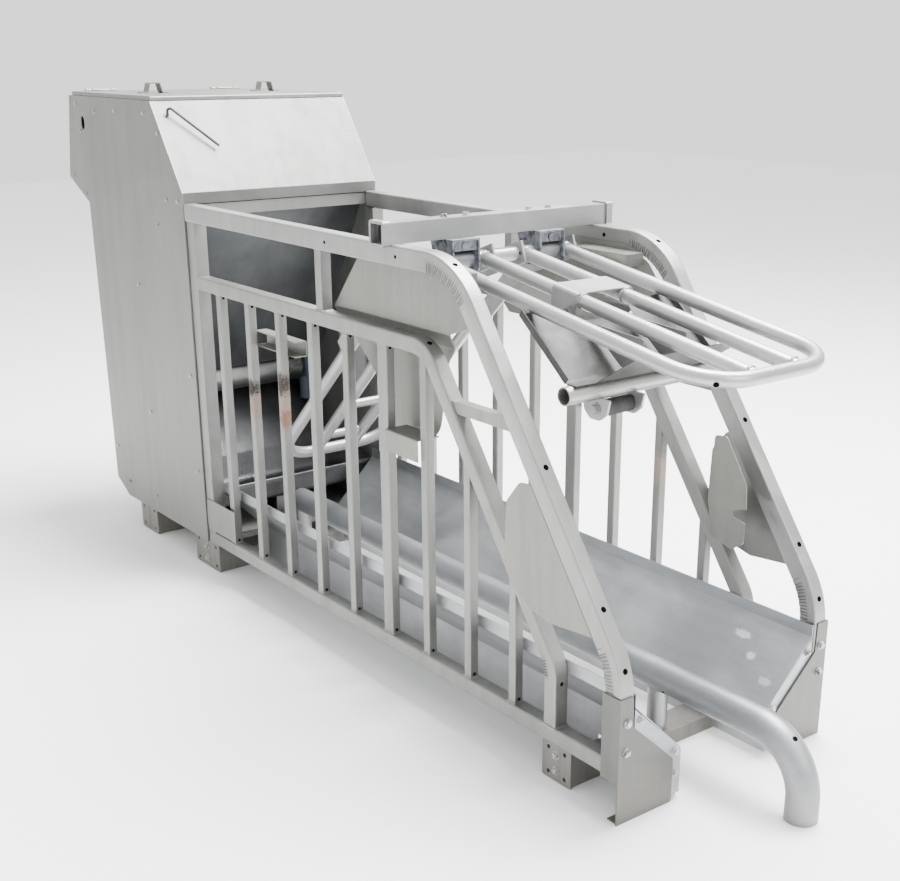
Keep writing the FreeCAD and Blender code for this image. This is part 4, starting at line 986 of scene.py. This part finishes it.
@dataclass
class GateWelds:
    """Weld beads of the see-saw gate's tubes, and its drain holes drawn as discs of painted shade.

    Attributes:
        pivot: X and Z of the pivot's axis.
        dip: Slope of the rack in degrees.
        pivot_radius: Radius of the pivot tube.
        tube_radius: Radius of the rack's tubes.
        reach: Distance from the pivot to the rack's front tube.
        rows: Y of the rack's tubes.
        saddle: Where the saddle box starts and ends along the rack.
        bend: Bend radius of the rack's middle line.
        pivot_hole: Angle of the holes in the pivot tube, in degrees above +X.
        bend_hole: Angles of the hole on the rack's near bend, in degrees: round the bend from its run
            towards +Y, and above the rack's plane.
    """

    pivot: tuple[float, float] = (0.420, 1.112)
    dip: float = 8.5
    pivot_radius: float = 0.018
    tube_radius: float = 0.017
    reach: float = 0.915
    rows: tuple[float, ...] = (-0.200, -0.067, 0.067, 0.200)
    saddle: tuple[float, float] = (0.297, 0.383)
    bend: float = 0.120
    pivot_hole: float = 8
    bend_hole: tuple[float, float] = (-40, -22)

    def spot(self, along: float, y: float, lift: float = 0.0) -> tuple[float, float, float]:
        """A point of the rack: along it, across it and above its middle plane."""
        dip = radians(self.dip)
        return (self.pivot[0] + along * cos(dip) + lift * sin(dip), y,
                self.pivot[1] - along * sin(dip) + lift * cos(dip))

    def build(self, dresser: Dresser) -> None:
        """Builds the beads, and the holes as discs of painted shade, with dresser's finishes."""
        run = np.array([cos(radians(self.dip)), 0.0, -sin(radians(self.dip))])
        beads = [round_bead(self.spot(self.pivot_radius - 0.001, y), run, self.tube_radius, 0.0036)
                 for y in self.rows]
        for y in self.rows[1:3]:
            far = self.reach - self.tube_radius - 0.001
            beads.append(round_bead(self.spot(far, y), run, self.tube_radius, 0.0032))
            beads += [round_bead(self.spot(along, y), run, self.tube_radius + 0.0005, 0.0032)
                      for along in self.saddle]
        dresser.piece("gate_welds", beads, "weld", body="gate")
        holes = []
        spoke = np.array([cos(radians(self.pivot_hole)), 0.0, sin(radians(self.pivot_hole))])
        for y in self.rows:
            centre = np.array([self.pivot[0], y - 0.0235, self.pivot[1]]) + self.pivot_radius * spoke
            holes.append(disc(tuple(centre), spoke, 0.0045))
        turn, sink = (radians(angle) for angle in self.bend_hole)
        out = (cos(turn) * run + sin(turn) * np.array([0.0, 1.0, 0.0])) * cos(sink)
        out = out + sin(sink) * np.array([sin(radians(self.dip)), 0.0, cos(radians(self.dip))])
        middle = np.array(self.spot(self.reach - self.bend + self.bend * cos(turn),
                                    self.rows[0] + self.bend + self.bend * sin(turn)))
        holes.append(disc(tuple(middle + self.tube_radius * out), out, 0.0065))
        # The holes are black discs: painted shade for the inside of the holes.
        dresser.piece("gate_drain_shade", holes, "hole", body="gate")


@dataclass
class FloorPipe:
    """The pipe along the middle of the race, with its drain holes (discs of painted shade) and leg weld.

    Attributes:
        radius: The pipe's radius.
        height: Height of its middle.
        bend: X where its front bend starts and the bend's radius.
        leg: X of the front leg and its radius.
        wall: Wall thickness.
        hole: Angle of the hole on the bend, in degrees above +X.
    """

    radius: float = 0.038
    height: float = 0.180
    bend: tuple[float, float] = (1.352, 0.130)
    leg: tuple[float, float] = (1.030, 0.025)
    wall: float = 0.003
    hole: float = 54

    def build(self, dresser: Dresser) -> None:
        """Builds the pipe, its drain holes as discs of painted shade, and the bead between leg and pipe."""
        line, inward, _ = bent_line([(-0.650, self.height), (self.bend[0] + self.bend[1], self.height),
                                     (self.bend[0] + self.bend[1], 0.0)], [0, self.bend[1], 0], 1.5)
        dresser.piece("pipe_tube", [self.tube(line, inward)], "floor_pipe", "anti_lie_pipe")
        start, reach = self.bend
        angle = radians(self.hole)
        spoke = np.array([cos(angle), -0.08, sin(angle)])
        spoke /= np.linalg.norm(spoke)
        middle = np.array([start + reach * cos(angle), 0.0, self.height - reach + reach * sin(angle)])
        holes = [disc(tuple(middle + self.radius * spoke), spoke, 0.0062)]
        side = np.array([0.35, -0.78, -0.52])
        side /= np.linalg.norm(side)
        place = (self.leg[0] + 0.035 + self.radius * side[0], self.radius * side[1] * 1.07,
                 self.height + self.radius * side[2] * 1.07)
        holes.append(disc(place, np.array([0.0, side[1], side[2]]), 0.0045))
        # The holes are black discs: painted shade for the inside of the holes.
        dresser.piece("pipe_drain_shade", holes, "hole")
        turn = np.radians(np.arange(0, 360, 6.0))
        x, y = self.leg[0] + self.leg[1] * np.cos(turn), self.leg[1] * np.sin(turn)
        path = np.column_stack([x, y, self.height - np.sqrt(self.radius ** 2 - y ** 2)])
        out = np.column_stack([np.cos(turn), np.sin(turn), np.zeros(len(turn))])
        dresser.piece("pipe_weld", [bead(path, out, np.tile(UP, (len(turn), 1)), 0.003)], "weld")

    def tube(self, line: np.ndarray, inward: np.ndarray) -> Skin:
        """The hollow pipe: circles along the line on the outer radius, then back on the inner one.

        Args:
            line: Points of the middle line in X and Z.
            inward: Unit normals of the line.

        Returns:
            Vertices and faces.
        """
        turn = np.radians(np.arange(0, 360, 7.5))
        shells = []
        for radius in (self.radius, self.radius - self.wall):
            flat = line[:, None] + inward[:, None] * (radius * np.cos(turn))[None, :, None]
            across = np.broadcast_to(radius * np.sin(turn), flat.shape[:2])
            shells.append(np.stack([flat[..., 0], across, flat[..., 1]], axis=-1))
        return loft(np.concatenate([shells[0], shells[1][::-1]]), closed=True)


def main() -> None:
    """Builds the scene in order."""
    logging.basicConfig(level=logging.INFO, format="%(message)s")
    Viewpoint().build()
    Studio().build()
    dresser = Dresser()
    dresser.dress()
    for side in Side:
        SideFrame(side).build(dresser)
    GateWelds().build(dresser)
    FloorPipe().build(dresser)


if __name__ == "__main__":
    main()
